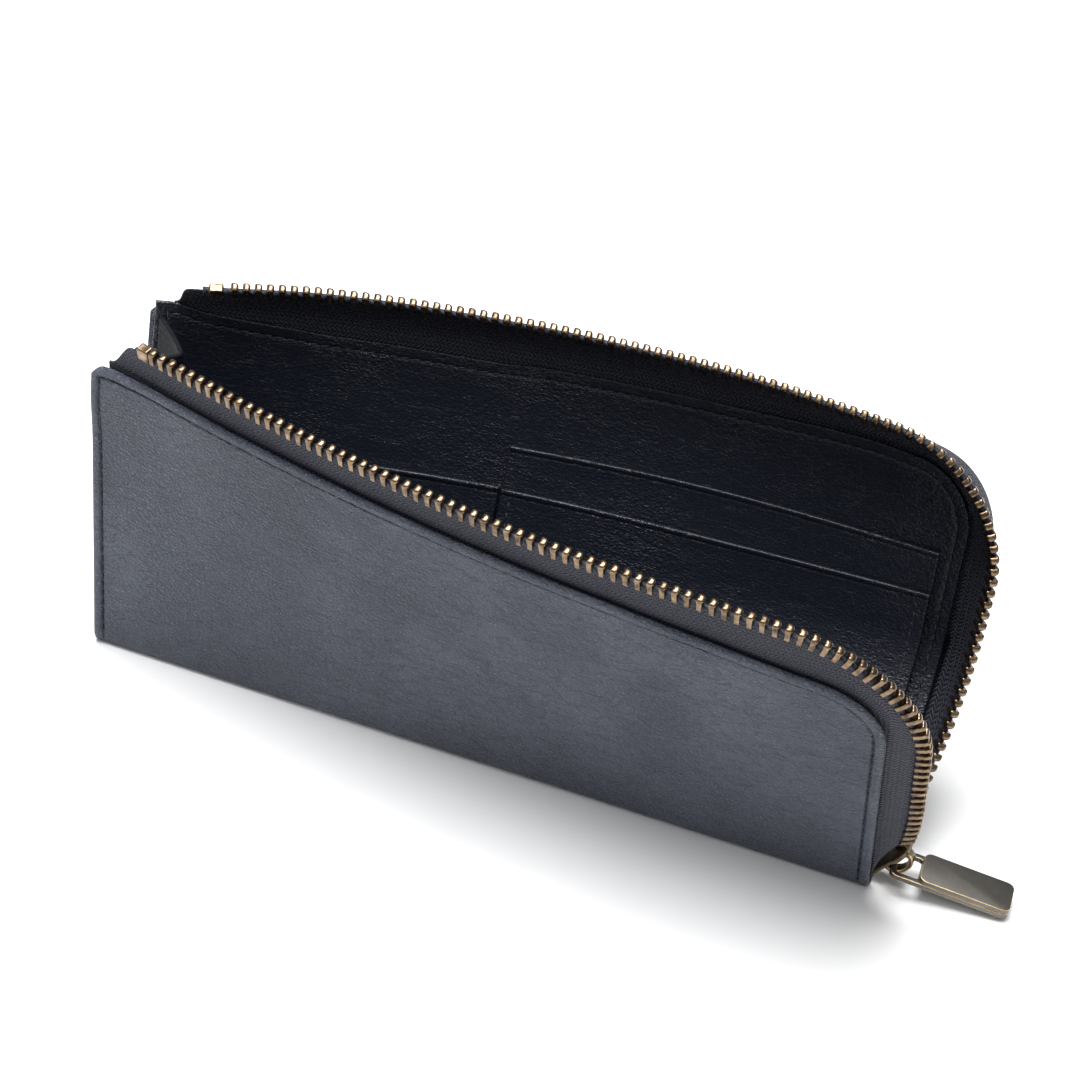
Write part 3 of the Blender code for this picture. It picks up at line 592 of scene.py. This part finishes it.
def make_outer_leather():
    """One piece of leather: down the front cover, round under the bottom and up the back cover."""
    x = x_stations(0.0, COVER_LENGTH, 0.65 * MM, SOFT_CORNER["front"])
    wide = np.ones((1, len(x)))
    front_v = cover_rows(x, cover_top(x, "front"), FRONT_FOOT, 50, SOFT_CORNER["front"])
    back_v = cover_rows(x, cover_top(x, "back"), BOTTOM_ROUND, 40, SOFT_CORNER["back"])[::-1]
    front = front_surface(x * np.ones_like(front_v), front_v)
    back = back_surface(x * np.ones_like(back_v), back_v)

    def bottom(y):
        return np.stack([x * wide, y * wide, 0 * x * wide], -1)

    foot = foot_width(x)
    front_fold = fold_curve(front[-1:], bottom(-FOLD_HALF_WIDTH), bottom(-UNDER_START), 5)
    share = np.linspace(0, 1, 9)[:, None]
    under_y = -UNDER_START * (1 - share) + (foot - BOTTOM_ROUND)[None] * share
    under = np.stack([x * np.ones_like(under_y), under_y, 0 * under_y], -1)
    back_fold = fold_curve(under[-1:], bottom(foot), back[:1], 5)
    outer = np.concatenate([front, front_fold, under, back_fold, back])
    normal = grid_normal(outer)
    if normal[5, 50, 1] < 0:
        normal = -normal

    distance = np.minimum(x, COVER_LENGTH - x)[None] * np.ones(outer.shape[:2])
    count = len(front)
    for side, part, v in (("front", slice(0, count), front_v), ("back", slice(-len(back), None), back_v)):
        level = v - edge_rise(x, side)
        distance[part] = edge_distance(x, level, COVER_LENGTH, COVER_HEIGHT, SOFT_CORNER[side])
    height = np.concatenate([front_v, np.zeros((len(outer) - count - len(back), len(x))), back_v])
    on_cover = np.clip(height / (4 * MM), 0, 1)

    pucker = 1 + 0.35 * np.cos(2 * pi * (x[None] + height) / STITCH_PITCH)
    relief = border_relief(distance, depth=GROOVE_DEPTH * pucker) * on_cover
    waves = soft_noise(outer, 38.0, 1) * 0.32 * MM + soft_noise(outer, 105.0, 2) * 0.13 * MM
    calm = np.clip(distance / (9 * MM), 0.15, 1) * on_cover
    bulge = np.exp(-((x[None] - 5 * MM) ** 2 + (height - 68 * MM) ** 2) / (7 * MM) ** 2)
    bulge[count:] = 0
    relief = relief + waves * calm + bulge * 0.7 * MM
    radius = LEATHER / 2
    sink = rounding(distance, radius)
    outside = outer - normal * (relief - sink)[..., None]
    inside = outer + normal * (LEATHER - sink)[..., None]
    inside = np.where((distance < radius)[..., None], inside - normal * relief[..., None], inside)
    along = np.concatenate([[0], np.cumsum(np.linalg.norm(np.diff(outer[:, 60], axis=0), axis=1))])
    flat = np.stack([x[None] * np.ones(outer.shape[:2]), along[:, None] * np.ones(outer.shape[:2])], -1)
    obj = closed_sheet("wrapped_outer_leather", outside, inside, flat)
    dress(obj, "outer", None, ("front_cover_leather", "back_cover_leather"))
    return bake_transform(obj)


def edge_path(inset, foot, rise, radius, left=0.0, height=COVER_HEIGHT, length=COVER_LENGTH):
    """(x, v) along a line inset from a cover's edges: up the left, along the top, down the right."""
    top = height - inset
    across, up = length - radius, height - radius
    points = [(left + inset, v) for v in np.arange(foot, top, 0.5 * MM)]
    points += [(x, top) for x in np.arange(left + inset, across, 0.5 * MM)]
    for angle in np.linspace(0, pi / 2, 32):
        points.append((across + (radius - inset) * sin(angle), up + (radius - inset) * cos(angle)))
    points += [(length - inset, v) for v in np.arange(up, foot, -0.5 * MM)]
    path = np.array(points)
    path[:, 1] += wave(rise, path[:, 0]) * np.clip((path[:, 1] - up + 2 * MM) / (8 * MM), 0, 1)
    return path


def stitch_shape():
    """A plump stitch along +x, its ends dipping into the leather."""
    rows, sides = 7, 8
    points = []
    for i in range(rows):
        t = i / (rows - 1)
        radius = THREAD * (0.45 + 0.55 * sin(pi * t) ** 0.6)
        drop = -0.16 * MM * (1 - sin(pi * t))
        for k in range(sides):
            angle = 2 * pi * k / sides
            points.append(((t - 0.5) * STITCH_LENGTH, radius * cos(angle), radius * sin(angle) + drop))
    faces = [list(f) for f in grid_faces(rows, sides, closed=True)]
    faces.append(list(range(sides)))
    faces.append(list(range((rows - 1) * sides, rows * sides))[::-1])
    return points, faces


def stitches(name, surface, path, depth, body, material="thread"):
    """A run of stitches on a cover, along path, at that depth."""
    points = inward(surface, path[:, 0], path[:, 1], depth)
    below = inward(surface, path[:, 0], path[:, 1], depth + 0.5 * MM)
    length = np.concatenate([[0], np.cumsum(np.linalg.norm(np.diff(points, axis=0), axis=1))])
    frames = []
    sign = -1.0 if depth < LEATHER else 1.0
    for s in np.arange(1.2 * MM, length[-1] - 1.2 * MM, STITCH_PITCH):
        at = np.array([np.interp(s, length, points[:, k]) for k in range(3)])
        ahead = np.array([np.interp(s + 0.4 * MM, length, points[:, k]) for k in range(3)])
        under = np.array([np.interp(s, length, below[:, k]) for k in range(3)])
        along = (ahead - at) / np.linalg.norm(ahead - at)
        up = (under - at) * sign
        up -= along * (up @ along)
        up /= np.linalg.norm(up)
        side = np.cross(up, along)
        slant = along * cos(0.12) + side * sin(0.12)
        frames.append((at, (slant, np.cross(up, slant), up)))
    shape = stitch_shape()
    return dress(copies(name, *shape, frames), material, body)


def make_cover_stitching():
    for side, surface in (("front", front_surface), ("back", back_surface)):
        path = edge_path(GROOVE_AT, 3.4 * MM, side, SOFT_CORNER[side])
        stitches(f"{side}_cover_stitching", surface, path, 0.2 * MM, side)


# ---------------------------------------------------------------- linings, pockets and gusset

def skin(name, surface, x, v, distance, depth, thickness, relief, seed, material, body, replaces):
    """A thin leather skin lying depth inside a cover. Relief rises towards the inside of the wallet."""
    base = surface(x * np.ones_like(v), v)
    ripple = soft_noise(base, 60.0, seed) * 0.16 * MM + soft_noise(base, 190.0, seed + 1) * 0.06 * MM
    ripple *= np.clip(distance / (6 * MM), 0, 1)
    sink = rounding(distance, thickness / 2)
    outer = inward(surface, x * np.ones_like(v), v, depth + sink)
    inner = inward(surface, x * np.ones_like(v), v, depth + thickness - sink + relief + ripple)
    flat = np.stack([x * np.ones_like(v), v], -1)
    obj = closed_sheet(f"{name}_skin", outer, inner, flat)
    return dress(obj, material, body, replaces)


def make_front_lining():
    right = COVER_LENGTH - FRONT_LINING_CUT
    radius = SOFT_CORNER["front"]
    x = x_stations(LINING_LEFT, right, 2.2 * MM, radius)
    top = corner_height(x, right, LINING_HEIGHT, radius) + wave("front", x)
    v = cover_rows(x, top, FRONT_LINING_FOOT, 36, radius)
    distance = edge_distance(x, v - wave("front", x), right, LINING_HEIGHT, radius, LINING_LEFT)
    relief = border_relief(distance, LINING_GROOVE_AT, 0.05 * MM, 0.18 * MM)
    skin("front_lining", front_surface, x[None], v, distance, LINING_DEPTH, LINING, relief, 11,
         "inner", "front", ("front_lining",))
    path = edge_path(LINING_GROOVE_AT, 6 * MM, "front", radius, LINING_LEFT, LINING_HEIGHT, right)
    stitches("front_lining_stitching", front_surface, path, LINING_DEPTH + LINING, "front", "inner_thread_painted_highlight")


def make_back_lining():
    """The lining of the back cover, and of the bottom as far as the front cover."""
    radius = SOFT_CORNER["back"]
    x = x_stations(LINING_LEFT, LINING_RIGHT, 1.1 * MM, radius)
    top = corner_height(x, LINING_RIGHT, LINING_HEIGHT, radius) + wave("lining", x)
    v = cover_rows(x, top, BOTTOM_ROUND, 46, radius)[::-1]
    count = len(v)
    foot = foot_width(x)
    share = np.linspace(0, 1, 9)[:, None]
    under_y = -LINING_UNDER_START * (1 - share) + (foot - BOTTOM_ROUND)[None] * share
    under = np.stack([x * np.ones_like(under_y), under_y, 0 * under_y], -1)
    back = back_surface(x * np.ones_like(v), v)
    corner = np.stack([x, foot, 0 * x], -1)[None]
    outer = np.concatenate([under, fold_curve(under[-1:], corner, back[:1], 5), back])
    normal = grid_normal(outer)
    if normal[-20, 50, 1] > 0:
        normal = -normal
    distance = np.minimum(x - LINING_LEFT, LINING_RIGHT - x)[None] * np.ones(outer.shape[:2])
    level = v - wave("lining", x)
    distance[-count:] = edge_distance(x, level, LINING_RIGHT, LINING_HEIGHT, radius, LINING_LEFT)
    relief = border_relief(distance, LINING_GROOVE_AT, 0.06 * MM, 0.2 * MM)
    relief[:-count] = 0
    height = np.concatenate([np.zeros((len(outer) - count, len(x))), v])
    creases = np.zeros_like(height)
    for at, width, tall in ((168.0, 1.0, 38.0), (171.5, 0.8, 30.0), (31.0, 1.2, 60.0), (120.0, 1.5, 66.0)):
        bend = 2.0 * MM * np.sin(height / (9 * MM) + at)
        strip = np.exp(-((x[None] + bend - at * MM) / (width * MM)) ** 2)
        creases += strip * np.exp(-((height - tall * MM) / (16 * MM)) ** 2)
    ripple = soft_noise(outer, 55.0, 21) * 0.3 * MM + soft_noise(outer, 170.0, 22) * 0.1 * MM
    ripple *= np.clip(distance / (6 * MM), 0, 1) * np.clip(height / (10 * MM), 0, 1)
    sink = rounding(distance, LINING / 2)
    face = LINING_DEPTH + LINING - sink + relief + np.maximum(ripple, -0.2 * MM) * 0.6 - creases * 0.25 * MM
    outside = outer + normal * (LINING_DEPTH + sink)[..., None]
    inside = outer + normal * face[..., None]
    flat = np.stack([x[None] * np.ones(outer.shape[:2]), height], -1)
    obj = closed_sheet("back_lining_skin", outside, inside, flat)
    dress(obj, "inner", "back", ("back_lining",))
    path = edge_path(LINING_GROOVE_AT, 8 * MM, "lining", radius, LINING_LEFT, LINING_HEIGHT, LINING_RIGHT)
    stitches("back_lining_stitching", back_surface, path, LINING_DEPTH + LINING, "back", "inner_thread_painted_highlight")


def pocket_rows(top, steps):
    """Heights from a pocket's top edge down to its foot."""
    edge = top[None, :] - steps[:, None]
    share = np.linspace(0, 1, 26)[1:, None]
    return np.concatenate([edge, edge[-1] * (1 - share) + POCKET_FOOT * share])


def make_pocket(name, left, right, height, layer, seed):
    """A flat pocket with a turned top edge and a pressed line under it."""
    x = np.concatenate([left + EDGE_STEPS[:9], np.linspace(left + 3 * MM, right - 3 * MM, 60),
                        right - EDGE_STEPS[:9][::-1]])
    top = height + 0.35 * MM * np.sin((x - left) / (19 * MM) + seed)
    v = pocket_rows(top, EDGE_STEPS)[::-1]
    below = top[None] - v
    distance = np.minimum(np.minimum(x - left, right - x)[None], below)
    distance = np.maximum(distance, 0)
    pressed = np.exp(-((below - 1.3 * MM) / (0.24 * MM)) ** 2)
    lip = np.exp(-(below / (2.5 * MM)) ** 2) * np.sin(np.pi * (x - left) / (right - left))[None] ** 0.5
    relief = 0.24 * MM * np.exp(-(below / (1.15 * MM)) ** 4) - 0.26 * MM * pressed + 0.25 * MM * lip
    depth = POCKET_DEPTH + layer * (LINING + GAP)
    return skin(name, back_surface, x[None], v, distance, depth, LINING, relief, seed,
                "inner", "back", (name,))


def make_pockets():
    make_pocket("upper_card_pocket", POCKET_DIVIDE, POCKET_RIGHT, UPPER_POCKET, 0, 31)
    make_pocket("lower_card_pocket", POCKET_DIVIDE, POCKET_RIGHT, LOWER_POCKET, 1, 33)
    make_pocket("wide_slip_pocket", POCKET_LEFT, POCKET_DIVIDE - 2 * GAP, LOWER_POCKET, 0, 35)
    layer = POCKET_DEPTH + 2 * LINING + GAP - 0.02 * MM
    rise = np.arange(POCKET_FOOT + 2 * MM, LOWER_POCKET - 1 * MM, 0.5 * MM)
    right = np.stack([np.full_like(rise, POCKET_RIGHT - 2.6 * MM), rise], -1)
    stitches("card_pocket_side_stitching", back_surface, right, layer, "back", "inner_thread_painted_highlight")
    middle = np.stack([np.full_like(rise, POCKET_DIVIDE + 2.2 * MM), rise], -1)
    stitches("pocket_divider_stitching", back_surface, middle, layer, "back", "inner_thread_painted_highlight")


def make_gusset():
    """The end panel, folded inwards between the covers."""
    top_rows = GUSSET_TOP - EDGE_STEPS[:14][::-1]
    rows = np.concatenate([np.linspace(GUSSET_FOOT, GUSSET_TOP - 4 * MM, 30), top_rows])
    inner = LINING_DEPTH + LINING + 2 * GAP + GUSSET_THICKNESS / 2
    front = inward(front_surface, np.full_like(rows, GUSSET_EDGE_X), rows, inner)
    back = inward(back_surface, np.full_like(rows, GUSSET_EDGE_X), rows, inner)
    half = np.linalg.norm(back - front, axis=1) / 2
    depth = np.sqrt(np.maximum(GUSSET_WIDTH ** 2 - half ** 2, (4 * MM) ** 2))
    middle = (front + back) / 2
    share = np.linspace(-1, 1, 41)
    round_tip = 1.0 - np.sqrt(share ** 2 + 0.06 ** 2) + 0.06
    bulge = 0.35 * MM * np.sin(np.pi * np.abs(share)) * np.sign(share)
    middle_line = middle[:, None] + (back - front)[:, None] / 2 * share[None, :, None]
    middle_line[..., 0] += depth[:, None] * round_tip[None]
    middle_line[..., 1] += bulge[None] * (0.4 + 0.6 * rows / GUSSET_TOP)[:, None]
    middle_line[..., 1] += soft_noise(middle_line, 90.0, 41) * 0.25 * MM
    normal = grid_normal(middle_line)
    below = (GUSSET_TOP - rows)[:, None] * np.ones((1, len(share)))
    sink = rounding(below, GUSSET_THICKNESS / 2)
    thick = (GUSSET_THICKNESS / 2 - sink)[..., None]
    flat = np.stack(np.broadcast_arrays(share[None] * GUSSET_WIDTH, rows[:, None]), -1)
    obj = closed_sheet("end_gusset_fold", middle_line + normal * thick, middle_line - normal * thick, flat)
    dress(obj, "gusset", None, ("end_gusset",))
    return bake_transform(obj)


# ---------------------------------------------------------------- zip

def chain_runs(side):
    """Lengths of the chain's straight top, its corner and its straight side."""
    corner = CHAIN_CORNER[side]
    top = CHAIN_LENGTH - corner - CHAIN_START[side]
    return top, corner * pi / 2, CHAIN_HEIGHT - corner - CHAIN_END


def chain_place(side, s):
    """(x, v) of the chain, and of the cover's edge beside it."""
    edge_x = COVER_LENGTH - COVER_CORNER
    edge_v = COVER_HEIGHT - COVER_CORNER
    corner = CHAIN_CORNER[side]
    top_run, corner_run, _ = chain_runs(side)
    if s <= top_run:
        x = CHAIN_START[side] + s
        return (x, CHAIN_HEIGHT), (min(x, edge_x), COVER_HEIGHT)
    if s <= top_run + corner_run:
        angle = (s - top_run) / corner
        x = CHAIN_LENGTH - corner + corner * sin(angle)
        v = CHAIN_HEIGHT - corner + corner * cos(angle)
        start_x = CHAIN_START[side] + top_run
        straight = edge_x - start_x
        arc = COVER_CORNER * pi / 2
        run = (s - top_run) / corner_run * (straight + arc + edge_v - CHAIN_HEIGHT + corner)
        if run <= straight:
            return (x, v), (start_x + run, COVER_HEIGHT)
        if run <= straight + arc:
            turn = (run - straight) / COVER_CORNER
            return (x, v), (edge_x + COVER_CORNER * sin(turn), edge_v + COVER_CORNER * cos(turn))
        return (x, v), (COVER_LENGTH, edge_v - (run - straight - arc))
    v = CHAIN_HEIGHT - corner - (s - top_run - corner_run)
    x = CHAIN_LENGTH - SIDE_RUN_IN[side] * max(1.0 - v / SIDE_RUN_HEIGHT[side], 0.0) ** 2
    return (x, v), (COVER_LENGTH, v)


def chain_point(side, x, v):
    """The middle of the chain at (x, v)."""
    t = x / LEAN_LENGTH
    first, more = FRONT_TAPE_INSET if side == "front" else BACK_TAPE_INSET
    draw = FRONT_DRAW_IN if side == "front" else BACK_DRAW_IN
    inset = first + more * t + draw * max(1.0 - v / DRAW_IN_HEIGHT, 0.0) ** 2 * t
    inset += SLIDER_RUN_IN[side] * max(1.0 - v / SLIDER_RUN_HEIGHT, 0.0) ** 2
    v += wave(f"{side}_chain", x)
    if side == "front":
        angle = lean(FRONT_LEAN, x)
        y = -(FOLD_HALF_WIDTH + v * sin(angle) - inset * cos(angle))
    else:
        angle = lean(BACK_LEAN, x)
        y = FOLD_HALF_WIDTH + BACK_SPLAY * t + v * sin(angle) - inset * cos(angle)
    return np.array([x, y, v * cos(angle) + inset * sin(angle)])


def chain_frame(side, place):
    """The chain's point, its axes (along, away from the cover, normal), and the cover's edge beside it."""
    surface = front_surface if side == "front" else back_surface
    last = sum(chain_runs(side))

    def point(at):
        return chain_point(side, *chain_place(side, at)[0])

    step = 0.4 * MM
    centre = point(place)
    along = point(min(place + step, last)) - point(min(place, last) - step)
    along /= np.linalg.norm(along)
    _, (x, v) = chain_place(side, place)
    edge = inward(surface, x, v, TAPE_DEPTH)
    out = centre - edge
    out -= along * (out @ along)
    out /= np.linalg.norm(out)
    return centre, along, out, np.cross(along, out), edge


def tape_hem(side, place):
    """The tape's inner edge, between the leather and the lining."""
    surface = front_surface if side == "front" else back_surface
    _, (x, v) = chain_place(side, place)
    edge_x = COVER_LENGTH - COVER_CORNER
    edge_v = COVER_HEIGHT - COVER_CORNER
    out = np.array([max(x - edge_x, 0.0), max(v - edge_v, 0.0)])
    if v <= edge_v:
        out = np.array([1.0, 0.0])
    elif x <= edge_x:
        out = np.array([0.0, 1.0])
    out /= np.linalg.norm(out)
    return inward(surface, x - out[0] * TAPE_HEM, v - out[1] * TAPE_HEM, TAPE_DEPTH)


def measured_chain(side):
    """Lengths along the chain, and the places on the cover that they reach."""
    places = np.linspace(0.0, sum(chain_runs(side)), 900)
    line = np.array([chain_point(side, *chain_place(side, p)[0]) for p in places])
    steps = np.linalg.norm(np.diff(line, axis=0), axis=1)
    return np.concatenate([[0.0], np.cumsum(steps)]), places


def tape_row(side, place):
    """Where the tape leaves the leather and where it meets the teeth, tapered at both ends."""
    last = sum(chain_runs(side))
    centre, _, out, _, edge = chain_frame(side, min(place, last))
    rim = centre - out * TAPE_RIM
    if place < 0:
        t = min(1.0, (place + TAPE_START[side]) / TAPE_RISE[side])
        rim = edge + (rim - edge) * (0.1 + 0.9 * t * t * (3 - 2 * t))
    if place > last:
        reach = rim - edge
        edge = chain_frame(side, place)[4]
        rim = edge + reach * (1 - 0.97 * (place - last) / TAPE_TAIL) ** TAIL_DRAW[side]
    return edge, rim


def make_tape(side):
    """The strip from between the skins out to the teeth, with a soft roll where it leaves the leather."""
    last = sum(chain_runs(side))
    places = np.concatenate([np.linspace(-TAPE_START[side], 0, 26)[:-1], np.linspace(0, last, 200),
                             np.linspace(last, last + TAPE_TAIL, 14)[1:]])
    rows, flat = [], []
    for place in places:
        edge, rim = tape_row(side, place)
        hem = tape_hem(side, place)
        into = edge - hem
        reach = np.linalg.norm(rim - edge)
        control = edge + into / np.linalg.norm(into) * reach * 0.3
        row = [hem + into * t for t in np.linspace(0, 1, 7)[:-1]]
        for t in np.linspace(0, 1, 13):
            row.append(edge * (1 - t) ** 2 + control * 2 * t * (1 - t) + rim * t * t)
        rows.append(row)
        steps = np.linalg.norm(np.diff(np.array(row), axis=0), axis=1)
        flat.append([(place, s) for s in np.concatenate([[0], np.cumsum(steps)])])
    grid = np.array(rows)
    normal = grid_normal(grid)
    ripple = soft_noise(grid, 75.0, 51 if side == "front" else 53) * 0.25 * MM
    free = np.concatenate([np.zeros(7), np.sin(np.linspace(0, pi, 13))[1:]])
    grid = grid + normal * (ripple * free[None])[..., None]
    thick = np.full(grid.shape[:2], TAPE / 2)
    thick[:, 0] *= 0.3
    thick[:, -1] *= 0.5
    half = normal * thick[..., None]
    obj = closed_sheet(f"{side}_zip_tape_weave", grid + half, grid - half, np.array(flat))
    return dress(obj, "tape", side, (f"{side}_zip_tape",))


def tooth_shape():
    """A tooth: straight legs that clamp the cord and a wider rounded head, its sides swept back."""
    sections = (
        (-1.95, 0.52, 1.0), (-1.86, 0.6, 1.13), (-0.9, 0.6, 1.16), (0.0, 0.6, 1.14), (0.42, 0.6, 1.1),
        (0.55, 0.74, 1.06), (0.7, 0.82, 1.06), (0.88, 0.81, 1.03), (1.05, 0.7, 0.95), (1.18, 0.5, 0.74),
        (1.26, 0.22, 0.36),
    )
    sides = 16
    points = []
    for out, half_along, half_normal in sections:
        for k in range(sides):
            angle = 2 * pi * (k + 0.5) / sides
            square = 0.28 if out < 0.5 else 0.6
            a = half_along * np.sign(cos(angle)) * abs(cos(angle)) ** square
            n = half_normal * np.sign(sin(angle)) * abs(sin(angle)) ** square
            a += 0.3 * (0.5 - abs(n)) * np.clip((out + 0.2) / 0.8, 0, 1)
            points.append((a * MM, out * MM, n * MM))
    faces = [list(f) for f in grid_faces(len(sections), sides, closed=True)]
    faces.append(list(range(sides)))
    faces.append(list(range((len(sections) - 1) * sides, len(sections) * sides))[::-1])
    return points, faces


def make_chain(side):
    """The teeth, one by one, and the cord that they are clamped on."""
    lengths, places = measured_chain(side)
    frames = []
    for s in np.arange(FIRST_TOOTH, lengths[-1], PITCH):
        centre, along, out, normal, _ = chain_frame(side, np.interp(s, lengths, places))
        frames.append((centre, (along, out, normal)))
    teeth = copies(f"{side}_zip_tooth_row", *tooth_shape(), frames)
    teeth.data.set_sharp_from_angle(angle=radians(42))
    dress(teeth, "teeth", side, (f"{side}_zip_teeth",))
    line = []
    for s in np.linspace(-STOP_BEFORE[side] - CORD_LEAD, lengths[-1], 420):
        place = np.interp(s, lengths, places) if s > 0 else s
        centre, _, out, _, _ = chain_frame(side, place)
        line.append(centre - out * CORD_DEPTH)
    dress(tube(f"{side}_zip_cord", line, 12, CORD_RADIUS), "cord", side)


def rounded_box(name, centre, axes, sizes, bevel, waist=0.0):
    """A block with rounded edges, drawn in a little round its middle."""
    bm = bmesh.new()
    bmesh.ops.create_cube(bm, size=1.0)
    bmesh.ops.subdivide_edges(bm, edges=bm.edges[:], cuts=3, use_grid_fill=True)
    for vert in bm.verts:
        pull = 1.0 - waist * (1.0 - abs(vert.co.x) * 2) ** 2
        vert.co.y *= pull
        vert.co.z *= pull
    turn = Matrix([list(a) for a in axes]).transposed().to_4x4()
    place = Matrix.Translation(Vector(centre - np.array([ORIGIN_X, 0, 0])))
    bmesh.ops.transform(bm, matrix=place @ turn @ Matrix.Diagonal((*sizes, 1.0)), verts=bm.verts)
    mesh = bpy.data.meshes.new(name)
    bm.to_mesh(mesh)
    bm.free()
    obj = bpy.data.objects.new(name, mesh)
    bpy.context.scene.collection.objects.link(obj)
    round_edges(obj, bevel)
    return obj


def round_edges(obj, width, material=-1):
    """Rounds sharp edges. Their faces can take another of the object's materials."""
    bevel = obj.modifiers.new("rounding", "BEVEL")
    bevel.width = width
    bevel.segments = 4
    bevel.limit_method = "ANGLE"
    bevel.angle_limit = radians(40)
    bevel.material = material
    bevel.harden_normals = True
    obj.data.shade_smooth()


def make_stops():
    for side in ("front", "back"):
        centre, along, out, normal, _ = chain_frame(side, 0.0)
        place = centre - along * STOP_BEFORE[side] - out * STOP_DEPTH
        axes = (along, out, normal)
        stop = rounded_box(f"{side}_top_stop_block", place, axes, STOP_SIZE[side], 0.45 * MM, 0.07)
        dress(stop, "teeth", side, (f"{side}_top_stop",))


def make_metal():
    """Rounded, finished pieces for the slider and the puller, whose shapes come from the frame."""
    for node, body, width, face, edge, slot in (
        ("slider_body", "slider", 0.28 * MM, "slider", "slider", "antique_brass"),
        ("slider_bail", "slider", 0.3 * MM, "slider", "polished", "antique_brass"),
        ("puller_loop", "puller", 0.3 * MM, "satin", "polished", "pale_brass"),
        ("puller_plate", "puller", 0.46 * MM, "satin", "polished", "pale_brass"),
    ):
        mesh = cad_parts[node].data.copy()
        bm = bmesh.new()
        bm.from_mesh(mesh)
        bmesh.ops.remove_doubles(bm, verts=bm.verts, dist=0.005 * MM)
        bm.to_mesh(mesh)
        bm.free()
        piece = bpy.data.objects.new(f"{node}_metal", mesh)
        bpy.context.scene.collection.objects.link(piece)
        dress(piece, face, body, (node,))
        mesh.materials.append(MATERIALS[edge])
        round_edges(piece, width, 1)


# ---------------------------------------------------------------- scene

def plain_material(name, colour, roughness):
    """A matt surface with a faint variation."""
    g = Graph(name)
    fine = g.noise(g.place(), 30.0)
    return g.shade(base=g.mix(g.spread(fine, 0.4, 0.6, 0.0, 1.0), colour, tuple(c * 0.985 for c in colour)),
                   roughness=roughness)


def area_light(name, place, target, size, power):
    light = bpy.data.lights.new(name, "AREA")
    light.shape = "DISK"
    light.size = size
    light.energy = power
    obj = bpy.data.objects.new(name, light)
    obj.location = place
    obj.rotation_mode = "QUATERNION"
    obj.rotation_quaternion = (Vector(target) - Vector(place)).to_track_quat("-Z", "Y")
    bpy.context.scene.collection.objects.link(obj)


def make_scene():
    """A pale floor, soft studio light and a camera at the wallet's front and right."""
    floor = bpy.data.meshes.new("floor")
    reach = 4.0
    floor.from_pydata([(-reach, -reach, 0), (reach, -reach, 0), (reach, reach, 0), (-reach, reach, 0)], [],
                      [(0, 1, 2, 3)])
    floor_object = bpy.data.objects.new("floor", floor)
    bpy.context.scene.collection.objects.link(floor_object)
    floor.materials.append(plain_material("floor_white", (0.9, 0.9, 0.9), 0.7))

    world = bpy.data.worlds.new("studio")
    world.use_nodes = True
    background = world.node_tree.nodes["Background"]
    background.inputs["Color"].default_value = (0.96, 0.98, 1.0, 1.0)
    background.inputs["Strength"].default_value = 0.21
    bpy.context.scene.world = world
    area_light("overhead", (-0.1, 0.04, 1.2), (0, 0, 0.03), 0.95, 29.0)
    area_light("front_left", (-0.9, -0.75, 0.95), (0, 0, 0.04), 0.6, 2.2)
    area_light("front_right", (0.5, -0.65, 1.1), (0, 0, 0.04), 0.7, 2.2)

    back = Vector((sin(VIEW_AZIMUTH) * cos(VIEW_ELEVATION), -cos(VIEW_AZIMUTH) * cos(VIEW_ELEVATION),
                   sin(VIEW_ELEVATION)))
    right = Vector((cos(VIEW_AZIMUTH), sin(VIEW_AZIMUTH), 0.0))
    up = back.cross(right)
    turned_right = right * cos(VIEW_ROLL) + up * sin(VIEW_ROLL)
    turned_up = up * cos(VIEW_ROLL) - right * sin(VIEW_ROLL)
    camera = bpy.data.objects.new("camera", bpy.data.cameras.new("camera"))
    bpy.context.scene.collection.objects.link(camera)
    camera.data.lens = VIEW_LENS
    camera.data.sensor_width = 36.0
    camera.data.clip_start = 0.02
    camera.rotation_mode = "QUATERNION"
    camera.rotation_quaternion = Matrix((turned_right, turned_up, back)).transposed().to_quaternion()
    camera.location = VIEW_TARGET + back * VIEW_DISTANCE
    bpy.context.scene.camera = camera
    bpy.context.scene.view_settings.view_transform = "Standard"
    bpy.context.scene.view_settings.look = "None"


make_outer_leather()
make_cover_stitching()
make_front_lining()
make_back_lining()
make_pockets()
make_gusset()
for zip_side in ("front", "back"):
    make_tape(zip_side)
    make_chain(zip_side)
make_stops()
make_metal()
make_scene()

bpy.context.view_layer.update()
